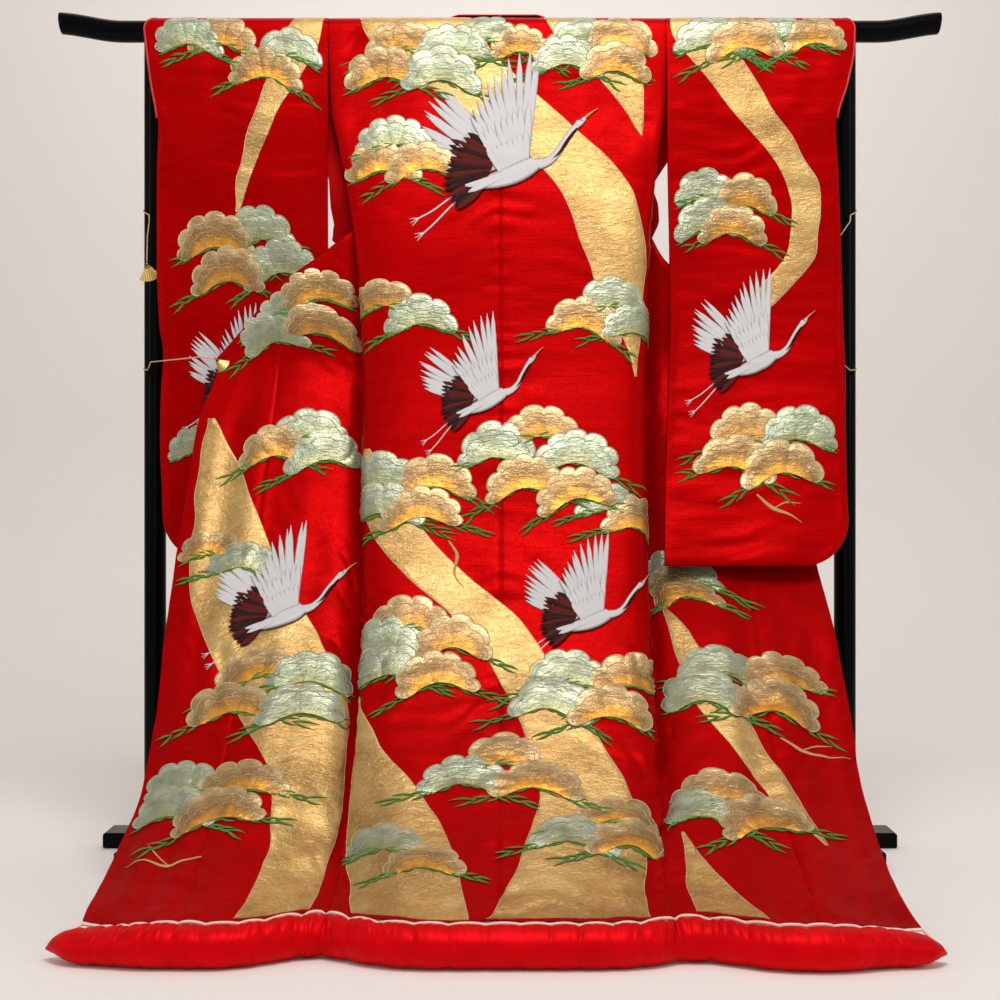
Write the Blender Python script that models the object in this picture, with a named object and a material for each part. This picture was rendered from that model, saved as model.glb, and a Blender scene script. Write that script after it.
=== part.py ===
"""Uchikake wedding kimono shown from the back on a lacquered stand.

Metres, +Z up, the viewer stands at -Y.  Inside this file a point is worked out as
(across, forward, height): across is +X, forward is the distance towards the viewer from
the plane of the stand, height is over the floor.  The last lines turn that into X, Y, Z
with the origin under the middle of the whole object.
"""
import math

import bpy
import numpy as np

# ---------------------------------------------------------------- driving dimensions
BAR_HEIGHT = 1.5437        # axis of the bar over the floor
BAR_RADIUS = 0.0205
BAR_HALF = 0.8335          # half length of the bar
BAR_LIFT = 0.016           # rise of each tip of the bar
BAR_STRAIGHT = 0.715       # the bar is straight out to here
POST_X = 0.655
POST_RADIUS = 0.0205
FOOT_HEIGHT = 0.029
FOOT_HALF_X = 0.090        # short board of the foot, half length
FOOT_HALF_D = 0.0425       # its half depth
FOOT_ARM_X = 0.030         # long board of the foot, half width
FOOT_ARM_D = 0.220         # its half length
CLOTH = 0.0024             # lined silk with its thin wadding
SEAM = 0.0003              # gap between two sewn pieces
WRAP = BAR_RADIUS + 0.0022 + CLOTH / 2     # middle of the cloth round the bar
ROLL_RADIUS = 0.0285
ROLL_FORWARD = 0.872
PIPING_RADIUS = 0.0026
FOLD_RADIUS = 0.0060       # turned-over edge of a front panel

for ob in list(bpy.data.objects):
    bpy.data.objects.remove(ob, do_unlink=True)


# ---------------------------------------------------------------- small helpers
def smooth_curve(x, xp, *columns):
    """Smooth interpolation of table columns at x (cubic, slopes limited)."""
    x = np.asarray(x, float)
    xp = np.asarray(xp, float)
    if xp[0] > xp[-1]:
        xp = xp[::-1]
        columns = [np.asarray(c, float)[::-1] for c in columns]
    out = []
    for c in columns:
        c = np.asarray(c, float)
        d = np.diff(c) / np.diff(xp)
        m = np.zeros_like(c)
        same = d[1:] * d[:-1] > 0
        m[1:-1] = np.where(same, 2 * d[1:] * d[:-1] / np.where(same, d[1:] + d[:-1], 1.0), 0)
        m[0], m[-1] = d[0], d[-1]
        i = np.clip(np.searchsorted(xp, x) - 1, 0, len(xp) - 2)
        h = xp[i + 1] - xp[i]
        t = np.clip((x - xp[i]) / h, 0, 1)
        out.append((2 * t**3 - 3 * t**2 + 1) * c[i] + (t**3 - 2 * t**2 + t) * h * m[i]
                   + (-2 * t**3 + 3 * t**2) * c[i + 1] + (t**3 - t**2) * h * m[i + 1])
    return out if len(out) > 1 else out[0]


def step(a, b, x):
    t = np.clip((np.asarray(x, float) - a) / (b - a), 0, 1)
    return t * t * (3 - 2 * t)


# ---------------------------------------------------------------- the body
# One row per height down the body.  forward: middle of the back.  xb: edge of the back
# panels, dip: depth of the fold at the side seam, off: front panel against the back,
# xo: seam of the overlap, xe: front edge.  l and r are the left and right halves.
BODY_COLUMNS = "height forward xb_l dip_l off_l xo_l xe_l xb_r dip_r off_r xo_r xe_r rec_l rec_r".split()
BODY_ROWS = [
    (1.5437, 0.0243, 0.3235, 0.000, -0.001, 0.404, 0.521, 0.3116, 0.000, -0.001, 0.404, 0.521, -0.004, -0.004),
    (1.5000, 0.0310, 0.3215, 0.000, -0.001, 0.404, 0.521, 0.3112, 0.000, -0.001, 0.404, 0.521, -0.004, -0.004),
    (1.4000, 0.0450, 0.3170, 0.004, -0.002, 0.404, 0.521, 0.3090, 0.004, -0.002, 0.404, 0.521, -0.004, -0.004),
    (1.3000, 0.0700, 0.2980, 0.016, -0.010, 0.404, 0.521, 0.2945, 0.018, -0.020, 0.404, 0.521, -0.004, -0.004),
    (1.1600, 0.1020, 0.2720, 0.030, -0.022, 0.404, 0.521, 0.2800, 0.080, -0.068, 0.404, 0.521, -0.004, -0.004),
    (1.0000, 0.1340, 0.2545, 0.056, -0.044, 0.404, 0.521, 0.2710, 0.100, -0.082, 0.404, 0.521, -0.006, -0.004),
    (0.9050, 0.1580, 0.2505, 0.078, -0.066, 0.404, 0.521, 0.2686, 0.112, -0.093, 0.404, 0.521, -0.008, -0.006),
    (0.7900, 0.1960, 0.2470, 0.078, -0.058, 0.409, 0.552, 0.2650, 0.110, -0.089, 0.412, 0.535, -0.010, -0.008),
    (0.6600, 0.2430, 0.2432, 0.070, -0.050, 0.420, 0.563, 0.2608, 0.120, -0.100, 0.420, 0.552, -0.012, -0.008),
    (0.5400, 0.3000, 0.2370, 0.062, -0.040, 0.424, 0.571, 0.2596, 0.130, -0.108, 0.430, 0.567, -0.016, -0.010),
    (0.4200, 0.3700, 0.2336, 0.055, -0.020, 0.433, 0.573, 0.2564, 0.082, -0.055, 0.438, 0.578, -0.020, -0.012),
    (0.3100, 0.4600, 0.2322, 0.055, -0.012, 0.436, 0.569, 0.2541, 0.060, -0.028, 0.437, 0.580, -0.026, -0.018),
    (0.2000, 0.5800, 0.2355, 0.055, -0.006, 0.443, 0.568, 0.2498, 0.050, -0.014, 0.437, 0.573, -0.036, -0.026),
    (0.1250, 0.6900, 0.2394, 0.046, -0.003, 0.448, 0.582, 0.2444, 0.038, -0.007, 0.441, 0.577, -0.048, -0.034),
    (0.0760, 0.7900, 0.2425, 0.027, 0.000, 0.446, 0.592, 0.2450, 0.022, 0.000, 0.446, 0.583, -0.060, -0.042),
    (0.0570, 0.8450, 0.2460, 0.010, 0.000, 0.444, 0.600, 0.2480, 0.008, 0.000, 0.444, 0.592, -0.068, -0.048),
]
# over the bar the cloth follows its round top
_arc = [(BAR_HEIGHT + WRAP * math.cos(a), WRAP * math.sin(a)) + BODY_ROWS[0][2:]
        for a in np.linspace(0, math.pi / 2, 10)[:-1]]
BODY_ROWS = _arc + BODY_ROWS
BODY = {name: np.array([row[i] for row in BODY_ROWS]) for i, name in enumerate(BODY_COLUMNS)}
_runs = np.hypot(np.diff(BODY["height"]), np.diff(BODY["forward"]))
BODY_RUN = np.concatenate([[0], np.cumsum(_runs)])     # distance down the back
LENGTH = BODY_RUN[-1]
ZONE_STEPS = 60


def section(run):
    """Points of one level, from the left front edge to the right one, evenly spaced in
    each of the six zones: overlap, front, back | back, front, overlap."""
    v = dict(zip(BODY_COLUMNS, smooth_curve(run, BODY_RUN, *[BODY[c] for c in BODY_COLUMNS])))
    poly, marks = [(0.0, 0.004)], []
    halves = []
    for side, sign in (("l", -1), ("r", 1)):
        xb, dip, off, xo, xe, rec = (float(v[k + "_" + side]) for k in ("xb", "dip", "off", "xo", "xe", "rec"))
        w = min(1.0, dip / 0.04)
        half = [(0.30 * xb, 0.003), (0.60 * xb, 0.002), (0.84 * xb, -0.001 * w), (xb - 0.006, -0.008 * w),
                (xb + 0.004 * w, -0.42 * dip), (xb - 0.15 * dip, -0.80 * dip),
                (xb - 0.18 * dip, -dip - 0.003 * w),
                (xb + 0.10 * dip + 0.002, -dip - 0.002), (xb + 0.014 + 0.1 * dip, 0.45 * off - 0.55 * dip),
                (xb + 0.045, off - 0.006), (xb + 0.09, off), (0.5 * (xb + 0.09 + xo), off + 0.003),
                (xo, off), (0.5 * (xo + xe), off + 0.35 * rec), (xe - 0.02, off + 0.85 * rec),
                (xe, off + rec), (xe, off + rec), (xe, off + rec)]
        halves.append([(sign * x, g) for x, g in half])
    poly = np.array(halves[0][::-1] + [(0.0, 0.004)] + halves[1])
    n0 = len(halves[0])
    # control number -> curve parameter: centre n0, seams 7 and 13 steps out
    knots = [1.0, n0 - 13, n0 - 7, n0, n0 + 7, n0 + 13, 2 * n0 - 1.0]
    rows = []
    for a, b in zip(knots[:-1], knots[1:]):
        t = np.linspace(a, b, 161)
        i = np.clip(t.astype(int), 1, len(poly) - 3)
        f = (t - i)[:, None]
        p0, p1, p2, p3 = poly[i - 1], poly[i], poly[i + 1], poly[np.minimum(i + 2, len(poly) - 1)]
        q = ((1 - f)**3 * p0 + (3 * f**3 - 6 * f**2 + 4) * p1
             + (-3 * f**3 + 3 * f**2 + 3 * f + 1) * p2 + f**3 * p3) / 6
        d = np.concatenate([[0], np.cumsum(np.hypot(*np.diff(q, axis=0).T))])
        e = np.linspace(0, d[-1], ZONE_STEPS + 1)
        q = np.stack([np.interp(e, d, q[:, 0]), np.interp(e, d, q[:, 1])], 1)
        rows.append(q if not rows else q[1:])
    q = np.concatenate(rows)
    return np.stack([q[:, 0], float(v["forward"]) + q[:, 1], np.full(len(q), float(v["height"]))], 1)


RUNS = np.linspace(0, LENGTH, 186)
BODY_GRID = np.array([section(r) for r in RUNS])


BODY_NORMAL = np.cross(np.gradient(BODY_GRID, axis=0), np.gradient(BODY_GRID, axis=1))
BODY_NORMAL /= np.linalg.norm(BODY_NORMAL, axis=2, keepdims=True)


def body(run, zone, grid=None):
    """Point of the body's middle surface: run down from the shoulder, zone -3..3 across."""
    r = np.clip(np.asarray(run, float) / LENGTH * (len(RUNS) - 1), 0, len(RUNS) - 1.0001)
    z = np.clip((np.asarray(zone, float) + 3) * ZONE_STEPS, 0, 6 * ZONE_STEPS - 0.0001)
    r, z = np.broadcast_arrays(r, z)
    i, j = r.astype(int), z.astype(int)
    a, b = (r - i)[..., None], (z - j)[..., None]
    g = BODY_GRID if grid is None else grid
    return ((1 - a) * ((1 - b) * g[i, j] + b * g[i, j + 1])
            + a * ((1 - b) * g[i + 1, j] + b * g[i + 1, j + 1]))


def run_at(height):
    return np.interp(-np.asarray(height, float), -BODY["height"], BODY_RUN)


# ---------------------------------------------------------------- behind the bar
# Where the front panels hang behind the bar before they turn over: distance down from
# the shoulder line against (forward, height).
def behind(w, lean):
    """lean: how far forward the cloth has come 0.42 m down."""
    w = np.asarray(w, float)
    quarter = WRAP * math.pi / 2
    ang = np.clip(w / WRAP, 0, math.pi / 2)
    f = -WRAP * np.sin(ang)
    h = BAR_HEIGHT + WRAP * np.cos(ang) - np.clip(w - quarter, 0, None)
    return f + (lean + WRAP) * step(0.085, 0.40, w), h


def down_behind(height):
    return WRAP * math.pi / 2 + (BAR_HEIGHT - np.asarray(height, float))


# Turned-over edge of each front: zone across against height of the edge.
FOLD_TABLE = {-1: [(1.0, 1.155), (1.5, 1.100), (2.0, 1.045), (2.5, 0.975), (3.0, 0.912)],
              1: [(1.0, 1.170), (1.3, 1.100), (2.0, 1.020), (2.5, 0.965), (3.0, 0.912)]}
# The hidden run of a front panel in (distance from the middle, distance down) from the
# shoulder line: where it starts, two places it is drawn towards, then the turned edge.
BEHIND_COLUMNS = "zone shoulder high_x high_w low_x low_w".split()
BEHIND_ROWS = {-1: [(1.0, 0.3225, 0.288, 0.290, 0.238, 0.020), (1.2, 0.2950, 0.256, 0.330, 0.222, 0.030),
                    (2.0, 0.1900, 0.185, 0.450, 0.215, 0.020),
                    (3.0, 0.0950, 0.095, 0.600, 0.250, 0.014)],
               1: [(1.0, 0.3100, 0.278, 0.290, 0.245, 0.016), (1.2, 0.2830, 0.244, 0.330, 0.226, 0.028),
                   (2.0, 0.1850, 0.180, 0.450, 0.215, 0.020),
                   (3.0, 0.0950, 0.095, 0.600, 0.250, 0.014)]}


def lean(side, x, w):
    """How far forward the hidden cloth hangs: in front of the left sleeve, else well back."""
    if side < 0:
        return 0.0545 + 0.0 * np.asarray(x, float)
    return 0.006 + 0.0 * np.asarray(x, float)


def front_behind(side, zone, q):
    """Hidden run of a front panel: q 0 at the shoulder line, 1 at the turned-over edge."""
    zone, q = np.broadcast_arrays(np.asarray(zone, float), np.asarray(q, float))
    t = FOLD_TABLE[side]
    top = smooth_curve(zone, [r[0] for r in t], [r[1] for r in t])
    edge = body(run_at(top), side * zone)
    rows = np.array(BEHIND_ROWS[side])
    x0, x1, w1, x2, dw = smooth_curve(zone, rows[:, 0], *rows[:, 1:].T)
    x3, w3 = np.abs(edge[..., 0]), down_behind(edge[..., 2])
    w2 = w3 + dw
    c0, c1, c2, c3 = (1 - q)**3, 3 * q * (1 - q)**2, 3 * q * q * (1 - q), q**3
    x = c0 * x0 + c1 * x1 + c2 * x2 + c3 * x3
    w = c1 * w1 + c2 * w2 + c3 * w3
    f, h = behind(w, lean(side, x, w))
    goal = edge[..., 1] - 2 * FOLD_RADIUS
    f = f + (goal - f) * step(0.80, 1.0, q)
    return np.stack([side * x, f, h], -1), edge


HIDDEN, TURN, SHOWN = 60, 8, 130


def front_grid(side):
    """Dense grid of one front: rows from the shoulder round the turned edge to the hem,
    columns over the zones 1 to 3; with the direction across its thickness."""
    zones = np.linspace(1, 3, 2 * ZONE_STEPS + 1)
    out = [front_behind(side, zones, np.full_like(zones, q))[0] for q in 0.0015 + 0.9985 * np.linspace(0, 1, HIDDEN + 1)**1.8]
    edge = front_behind(side, zones, np.ones_like(zones))[1]
    away = np.array([side * 0.69, 0, 0.72])
    centre = edge - np.array([0, FOLD_RADIUS, 0])
    for k in range(1, TURN + 1):
        a = -math.pi / 2 + math.pi * k / TURN
        out.append(centre + FOLD_RADIUS * (away * math.cos(a) + np.array([0, 1, 0]) * math.sin(a)))
    top = run_at(edge[:, 2])
    runs = []
    for k in range(1, SHOWN + 1):
        f = k / SHOWN
        runs.append(top + (LENGTH - top) * f)
        out.append(body(runs[-1], side * zones))
    grid = np.array(out)
    n = np.cross(np.gradient(grid, axis=0), np.gradient(grid, axis=1))
    n /= np.maximum(np.linalg.norm(n, axis=2, keepdims=True), 1e-12)
    shown = body(np.array(runs), side * zones[None, :], BODY_NORMAL)
    sign = np.sign(np.sum(n[HIDDEN + TURN + 20, 60] * shown[19, 60]))
    for k in range(SHOWN):
        n[HIDDEN + TURN + 1 + k] = shown[k] * sign
    return grid, n / np.linalg.norm(n, axis=2, keepdims=True)


def across_grid(grid, rows, zones):
    """Rows of a front grid at the given zones."""
    z = np.clip((np.asarray(zones, float) - 1) * ZONE_STEPS, 0, 2 * ZONE_STEPS - 1e-6)
    j = z.astype(int)
    b = (z - j)[None, :, None]
    g = grid[np.asarray(rows, int)]
    return (1 - b) * g[:, j] + b * g[:, j + 1]


# ---------------------------------------------------------------- sleeves
# One row per height: forward place of the front layer, inner and outer edge.
SLEEVE_COLUMNS = "height forward inner outer".split()
SLEEVE_ROWS = {
    -1: [(1.5437, 0.0243, 0.3245, 0.6680), (1.5000, 0.0310, 0.3240, 0.6620), (1.4400, 0.0380, 0.3235, 0.6530),
         (1.3620, 0.0460, 0.3230, 0.6400), (1.2600, 0.0470, 0.3235, 0.6430), (1.1000, 0.0470, 0.3230, 0.6430),
         (0.9800, 0.0470, 0.3225, 0.6380), (0.9300, 0.0470, 0.3220, 0.6310), (0.8600, 0.0470, 0.3220, 0.6350),
         (0.7700, 0.0470, 0.3215, 0.6370), (0.6600, 0.0470, 0.3210, 0.6330), (0.5400, 0.0470, 0.3210, 0.6300)],
    1: [(1.5437, 0.0243, 0.3133, 0.6660), (1.5000, 0.0310, 0.3136, 0.6630), (1.4400, 0.0380, 0.3140, 0.6500),
        (1.3620, 0.0460, 0.3140, 0.6290), (1.2600, 0.0540, 0.3145, 0.6330), (1.1000, 0.0700, 0.3160, 0.6350),
        (0.9800, 0.0880, 0.3160, 0.6350), (0.9000, 0.1060, 0.3120, 0.6350), (0.7900, 0.1400, 0.3050, 0.6290),
        (0.6600, 0.1850, 0.2970, 0.6230), (0.5800, 0.2180, 0.2930, 0.6210), (0.5380, 0.2360, 0.2910, 0.6200)]}
SLEEVE_CORNER = 0.085
SLEEVE_OPENING = 1.362      # height of the lower end of the sleeve opening
SLEEVE_SPACE = 0.0150       # between the two layers


def sleeve_point(side, layer, down, across):
    """layer +1 front, -1 back; down: distance below the bar's axis; across 0 inner, 1 outer."""
    down, across = np.broadcast_arrays(np.asarray(down, float), np.asarray(across, float))
    rows = np.array(SLEEVE_ROWS[side])
    bottom = rows[-1, 0]
    h = BAR_HEIGHT - down
    f, xi, xo = smooth_curve(h, rows[:, 0], rows[:, 1], rows[:, 2], rows[:, 3])
    low = np.clip(1 - (h - bottom) / SLEEVE_CORNER, 0, 1)
    corner = SLEEVE_CORNER * (1 - np.sqrt(np.clip(1 - low**2, 0, 1)))
    if layer < 0:
        inside = POST_X - POST_RADIUS - 0.0090
        keep = 1 - step(1.42, 1.375, h)
        xo = np.where(h > 1.375, np.minimum(xo, inside * keep + xo * (1 - keep)), xo)
    x_edge = xo - corner
    x = xi + across * (x_edge - xi)
    # distance to the sewn outer edge and to the sewn bottom
    sewn = step(SLEEVE_OPENING + 0.02, SLEEVE_OPENING - 0.03, h)
    reach = 0.016
    side_gap = np.clip((x_edge - x) / reach, 0, 1)
    low_gap = np.clip((h - bottom) / reach, 0, 1)
    curl = np.sqrt(np.clip(1 - (1 - np.minimum(side_gap, 1))**2, 0, 1)) * sewn + (1 - sewn)
    curl = curl * np.sqrt(np.clip(1 - (1 - low_gap)**2, 0, 1))
    gap = SLEEVE_SPACE / 2
    small = CLOTH / 2 + 0.0004
    front_mid = f
    if layer > 0:
        f = front_mid - gap + small + (gap - small) * curl
    else:
        back = front_mid - gap - small - (gap - small) * curl
        f = -WRAP + (back + WRAP) * step(0.06, 0.165, down)
    return np.stack([side * x, f, h], -1)


def sleeve(side, downs, arc_steps, acrosses):
    """Grid: up the front layer, over the bar, down the back layer."""
    acrosses = np.asarray(acrosses, float)
    grid = [sleeve_point(side, 1, d, acrosses) for d in downs[::-1]]
    a0 = sleeve_point(side, 1, 0.0, acrosses)
    a1 = sleeve_point(side, -1, 0.0, acrosses)
    for k in range(1, arc_steps):
        ang = math.pi * k / arc_steps
        mix = step(0, math.pi, ang)
        p = a0 * (1 - mix) + a1 * mix
        p[:, 1] = WRAP * math.cos(ang)
        p[:, 2] = BAR_HEIGHT + WRAP * math.sin(ang)
        grid.append(p)
    grid += [sleeve_point(side, -1, d, acrosses) for d in downs]
    return np.array(grid)


# ---------------------------------------------------------------- building solids
def normals(grid):
    du = np.gradient(grid, axis=0)
    dv = np.gradient(grid, axis=1)
    n = np.cross(du, dv)
    return n / np.maximum(np.linalg.norm(n, axis=2, keepdims=True), 1e-12)


def sheet_faces(m, n):
    """Faces of a closed slab made of two m x n layers of points."""
    idx = np.arange(m * n).reshape(m, n)
    low = idx + m * n
    faces = []
    for i in range(m - 1):
        for j in range(n - 1):
            faces.append((idx[i, j], idx[i + 1, j], idx[i + 1, j + 1], idx[i, j + 1]))
            faces.append((low[i, j], low[i, j + 1], low[i + 1, j + 1], low[i + 1, j]))
    rim = [(0, j) for j in range(n)] + [(i, n - 1) for i in range(1, m)] \
        + [(m - 1, j) for j in range(n - 2, -1, -1)] + [(i, 0) for i in range(m - 2, 0, -1)]
    for a, b in zip(rim, rim[1:] + rim[:1]):
        faces.append((idx[a], idx[b], low[b], low[a]))
    return faces


def add_mesh(name, points, faces, material, flip=None):
    pts = np.asarray(points, float)
    faces = [tuple(int(k) for k in f) for f in faces]
    vol = 0.0
    for f in faces:
        for k in range(1, len(f) - 1):
            vol += np.dot(pts[f[0]], np.cross(pts[f[k]], pts[f[k + 1]]))
    # points are (across, forward, height); turning forward into -Y mirrors the solid
    if vol > 0:
        faces = [f[::-1] for f in faces]
    mesh = bpy.data.meshes.new(name)
    mesh.from_pydata([(p[0], -p[1], p[2]) for p in pts], [], faces)
    mesh.materials.append(material)
    ob = bpy.data.objects.new(name, mesh)
    bpy.context.scene.collection.objects.link(ob)
    return ob


def slab(name, grid, material, thick=CLOTH, normal=None):
    n = (normals(grid) if normal is None else normal / np.linalg.norm(normal, axis=2, keepdims=True)) * thick / 2
    m, k = grid.shape[:2]
    pts = np.concatenate([(grid + n).reshape(-1, 3), (grid - n).reshape(-1, 3)])
    return add_mesh(name, pts, sheet_faces(m, k), material)


def tube(name, path, radii, material, sides=10, closed=False, squash=None):
    """Round body along a path, its ends closed by flat faces (or a closed ring)."""
    path = np.asarray(path, float)
    count = len(path)
    radii = np.broadcast_to(np.asarray(radii, float), (count,))
    if closed:
        tan = np.roll(path, -1, 0) - np.roll(path, 1, 0)
    else:
        tan = np.gradient(path, axis=0)
    tan /= np.linalg.norm(tan, axis=1)[:, None]
    ref = np.array([0, 1.0, 0]) if abs(tan[0, 1]) < 0.8 else np.array([1.0, 0, 0])
    u = ref - tan[0] * np.dot(ref, tan[0])
    u /= np.linalg.norm(u)
    frames = []
    for k in range(count):
        u = u - tan[k] * np.dot(u, tan[k])
        u /= np.linalg.norm(u)
        frames.append((u.copy(), np.cross(tan[k], u)))
    pts = []
    for k in range(count):
        a, b = frames[k]
        for s in range(sides):
            ang = 2 * math.pi * s / sides
            pts.append(path[k] + radii[k] * (a * math.cos(ang) + b * math.sin(ang)))
    faces = []
    last = count if closed else count - 1
    shift = 0
    if closed:
        first = np.array([pts[s] for s in range(sides)])
        best = [np.abs(np.roll(first, -q, 0) - np.array(pts[(count - 1) * sides:])).sum() for q in range(sides)]
        shift = int(np.argmin(best))
    for k in range(last):
        nxt = (k + 1) % count
        off = shift if (closed and nxt == 0) else 0
        for s in range(sides):
            s2 = (s + 1) % sides
            faces.append((k * sides + s, k * sides + s2, nxt * sides + (s2 + off) % sides,
                          nxt * sides + (s + off) % sides))
    if not closed:
        faces.append(tuple(range(sides))[::-1])
        faces.append(tuple((count - 1) * sides + s for s in range(sides)))
    return add_mesh(name, pts, faces, material)


def prism(name, outline, z0, z1, material, bevel=0.002):
    """Upright prism from an outline of (across, forward) points, its rims bevelled."""
    outline = np.asarray(outline, float)
    centre = outline.mean(0)
    area = 0.5 * np.sum(outline[:, 0] * np.roll(outline[:, 1], -1) - np.roll(outline[:, 0], -1) * outline[:, 1])
    if area < 0:
        outline = outline[::-1]
    e = np.roll(outline, -1, 0) - outline
    e /= np.linalg.norm(e, axis=1)[:, None]
    nrm = np.stack([e[:, 1], -e[:, 0]], 1)
    pn = nrm + np.roll(nrm, 1, 0)
    pn /= np.maximum((pn * nrm).sum(1, keepdims=True), 0.2)
    small = outline - bevel * pn
    n = len(outline)
    levels = [(small, z0), (outline, z0 + bevel), (outline, z1 - bevel), (small, z1)]
    pts = np.concatenate([np.column_stack([o, np.full(n, z)]) for o, z in levels])
    faces = [tuple(range(n))[::-1], tuple(3 * n + k for k in range(n))]
    for lv in range(3):
        for k in range(n):
            k2 = (k + 1) % n
            faces.append((lv * n + k, lv * n + k2, (lv + 1) * n + k2, (lv + 1) * n + k))
    return add_mesh(name, pts, faces, material)


def material(name, colour, rough, metal=0.0):
    m = bpy.data.materials.new(name)
    m.use_nodes = True
    b = m.node_tree.nodes["Principled BSDF"]
    b.inputs["Base Color"].default_value = (*colour, 1)
    b.inputs["Roughness"].default_value = rough
    b.inputs["Metallic"].default_value = metal
    return m


SILK = material("scarlet_silk", (0.55, 0.004, 0.006), 0.5)
SATIN = material("crimson_satin", (0.48, 0.006, 0.012), 0.4)
ROSE = material("rose_lining", (0.55, 0.09, 0.09), 0.5)
WHITE = material("white_piping", (0.85, 0.83, 0.80), 0.5)
LACQUER = material("black_lacquer", (0.006, 0.006, 0.007), 0.25)
BRASS = material("brass", (0.55, 0.38, 0.12), 0.3, 1.0)
CORD = material("cord", (0.75, 0.55, 0.42), 0.7)

# ---------------------------------------------------------------- stand
span = np.linspace(-BAR_HALF, BAR_HALF, 29)
rise = BAR_LIFT * step(BAR_STRAIGHT, BAR_HALF + 0.01, np.abs(span))
bar_path = np.column_stack([span, np.zeros_like(span), BAR_HEIGHT + rise])
tube("stand_bar", bar_path, BAR_RADIUS, LACQUER, sides=28)

for side, word in ((-1, "left"), (1, "right")):
    cx = side * POST_X
    ring = [(cx + POST_RADIUS * math.cos(2 * math.pi * k / 28), POST_RADIUS * math.sin(2 * math.pi * k / 28))
            for k in range(28)]
    prism(f"stand_post_{word}", ring, FOOT_HEIGHT + 0.0003, BAR_HEIGHT - BAR_RADIUS - 0.0006, LACQUER, 0.001)
    a, b, c, d = FOOT_HALF_X, FOOT_HALF_D, FOOT_ARM_X, FOOT_ARM_D
    plus = [(-a, -b), (-c, -b), (-c, -d), (c, -d), (c, -b), (a, -b), (a, b), (c, b), (c, d), (-c, d), (-c, b), (-a, b)]
    prism(f"stand_foot_{word}", [(cx + x, f) for x, f in plus], 0.0, FOOT_HEIGHT, LACQUER, 0.003)
    knob_x = side * 0.6555
    knob = [(knob_x, POST_RADIUS + 0.0004, 0.8915), (knob_x, POST_RADIUS + 0.006, 0.8915),
            (knob_x, POST_RADIUS + 0.0065, 0.8915), (knob_x, POST_RADIUS + 0.0145, 0.8915)]
    tube(f"stand_knob_{word}", knob, [0.0030, 0.0030, 0.0060, 0.0055], LACQUER, sides=14)

# ---------------------------------------------------------------- body panels
zone_gap = SEAM / 2 / 0.28
back_zones = np.concatenate([[zone_gap], np.linspace(0.15, 0.78, 4), [0.85, 0.90, 0.935, 0.968], [1 - zone_gap]])
turn_rows = [HIDDEN, HIDDEN + 2, HIDDEN + 4, HIDDEN + 6, HIDDEN + 8]
shown_steps = np.array([3, 8, 16, 26, 37, 48, 58, 68, 78, 88, 98, 108, 119, SHOWN])
for side, word in ((-1, "left"), (1, "right")):
    seam_top = run_at(FOLD_TABLE[side][0][1])
    back_runs = np.concatenate([[0.0004, 0.010, 0.020, 0.030, 0.045, 0.09, 0.15, 0.22, 0.29, 0.36], [seam_top],
                                seam_top + (LENGTH - seam_top) * shown_steps / SHOWN])
    runs, zones = np.meshgrid(back_runs, back_zones, indexing="ij")
    # above the side seam the edge stands a little clear of the front panel's fold
    clear = 0.045 * step(seam_top + 0.02, seam_top - 0.001, runs) * step(seam_top - 0.20, seam_top - 0.10, runs)
    zones = zones - clear * step(0.80, 1.0, zones)
    slab(f"back_{word}", body(runs, side * zones), SILK, normal=body(runs, side * zones, BODY_NORMAL))

FRONT = {side: front_grid(side) for side in (-1, 1)}
front_zones = np.concatenate([[1 + zone_gap], [1.04, 1.085, 1.14, 1.22, 1.36, 1.58, 1.80], [2 - zone_gap]])
lap_zones = np.concatenate([[2 + zone_gap], [2.3, 2.6, 2.85], [3.0]])
shown_rows = list(HIDDEN + TURN + shown_steps)
hidden_rows = [0, 3, 5, 7, 9, 12, 16, 21, 27, 33, 39, 44, 49, 54]
for side, word in ((-1, "left"), (1, "right")):
    grid, normal = FRONT[side]
    for name, zones, first in (("front", front_zones, hidden_rows),
                               ("okumi", lap_zones, hidden_rows[7:])):
        rows = first + turn_rows + shown_rows
        pts = across_grid(grid, rows, zones)
        if name == "okumi":                 # a little more room at the hidden end of the seam
            pts[:len(first), 0] += 0.05 * (pts[:len(first), 1] - pts[:len(first), 0])
        slab(f"{name}_{word}", pts, SILK, normal=across_grid(normal, rows, zones))

# ---------------------------------------------------------------- sleeves
for side, word in ((-1, "left"), (1, "right")):
    bottom = BAR_HEIGHT - np.array(SLEEVE_ROWS[side])[-1, 0]
    downs = np.concatenate([[0, 0.03, 0.06, 0.09, 0.125, 0.165], np.linspace(0.23, bottom - 0.085, 8),
                            bottom - 0.085 + 0.085 * np.sin(np.linspace(0, math.pi / 2, 6))[1:]])
    downs[-2:] = [bottom - 0.004, bottom]
    acrosses = [0, 0.25, 0.5, 0.75, 0.93, 0.975, 0.993, 1.0]
    slab(f"sleeve_{word}", sleeve(side, downs, 6, acrosses), SILK)

# ---------------------------------------------------------------- collar
COLLAR_WIDE = 0.075


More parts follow.
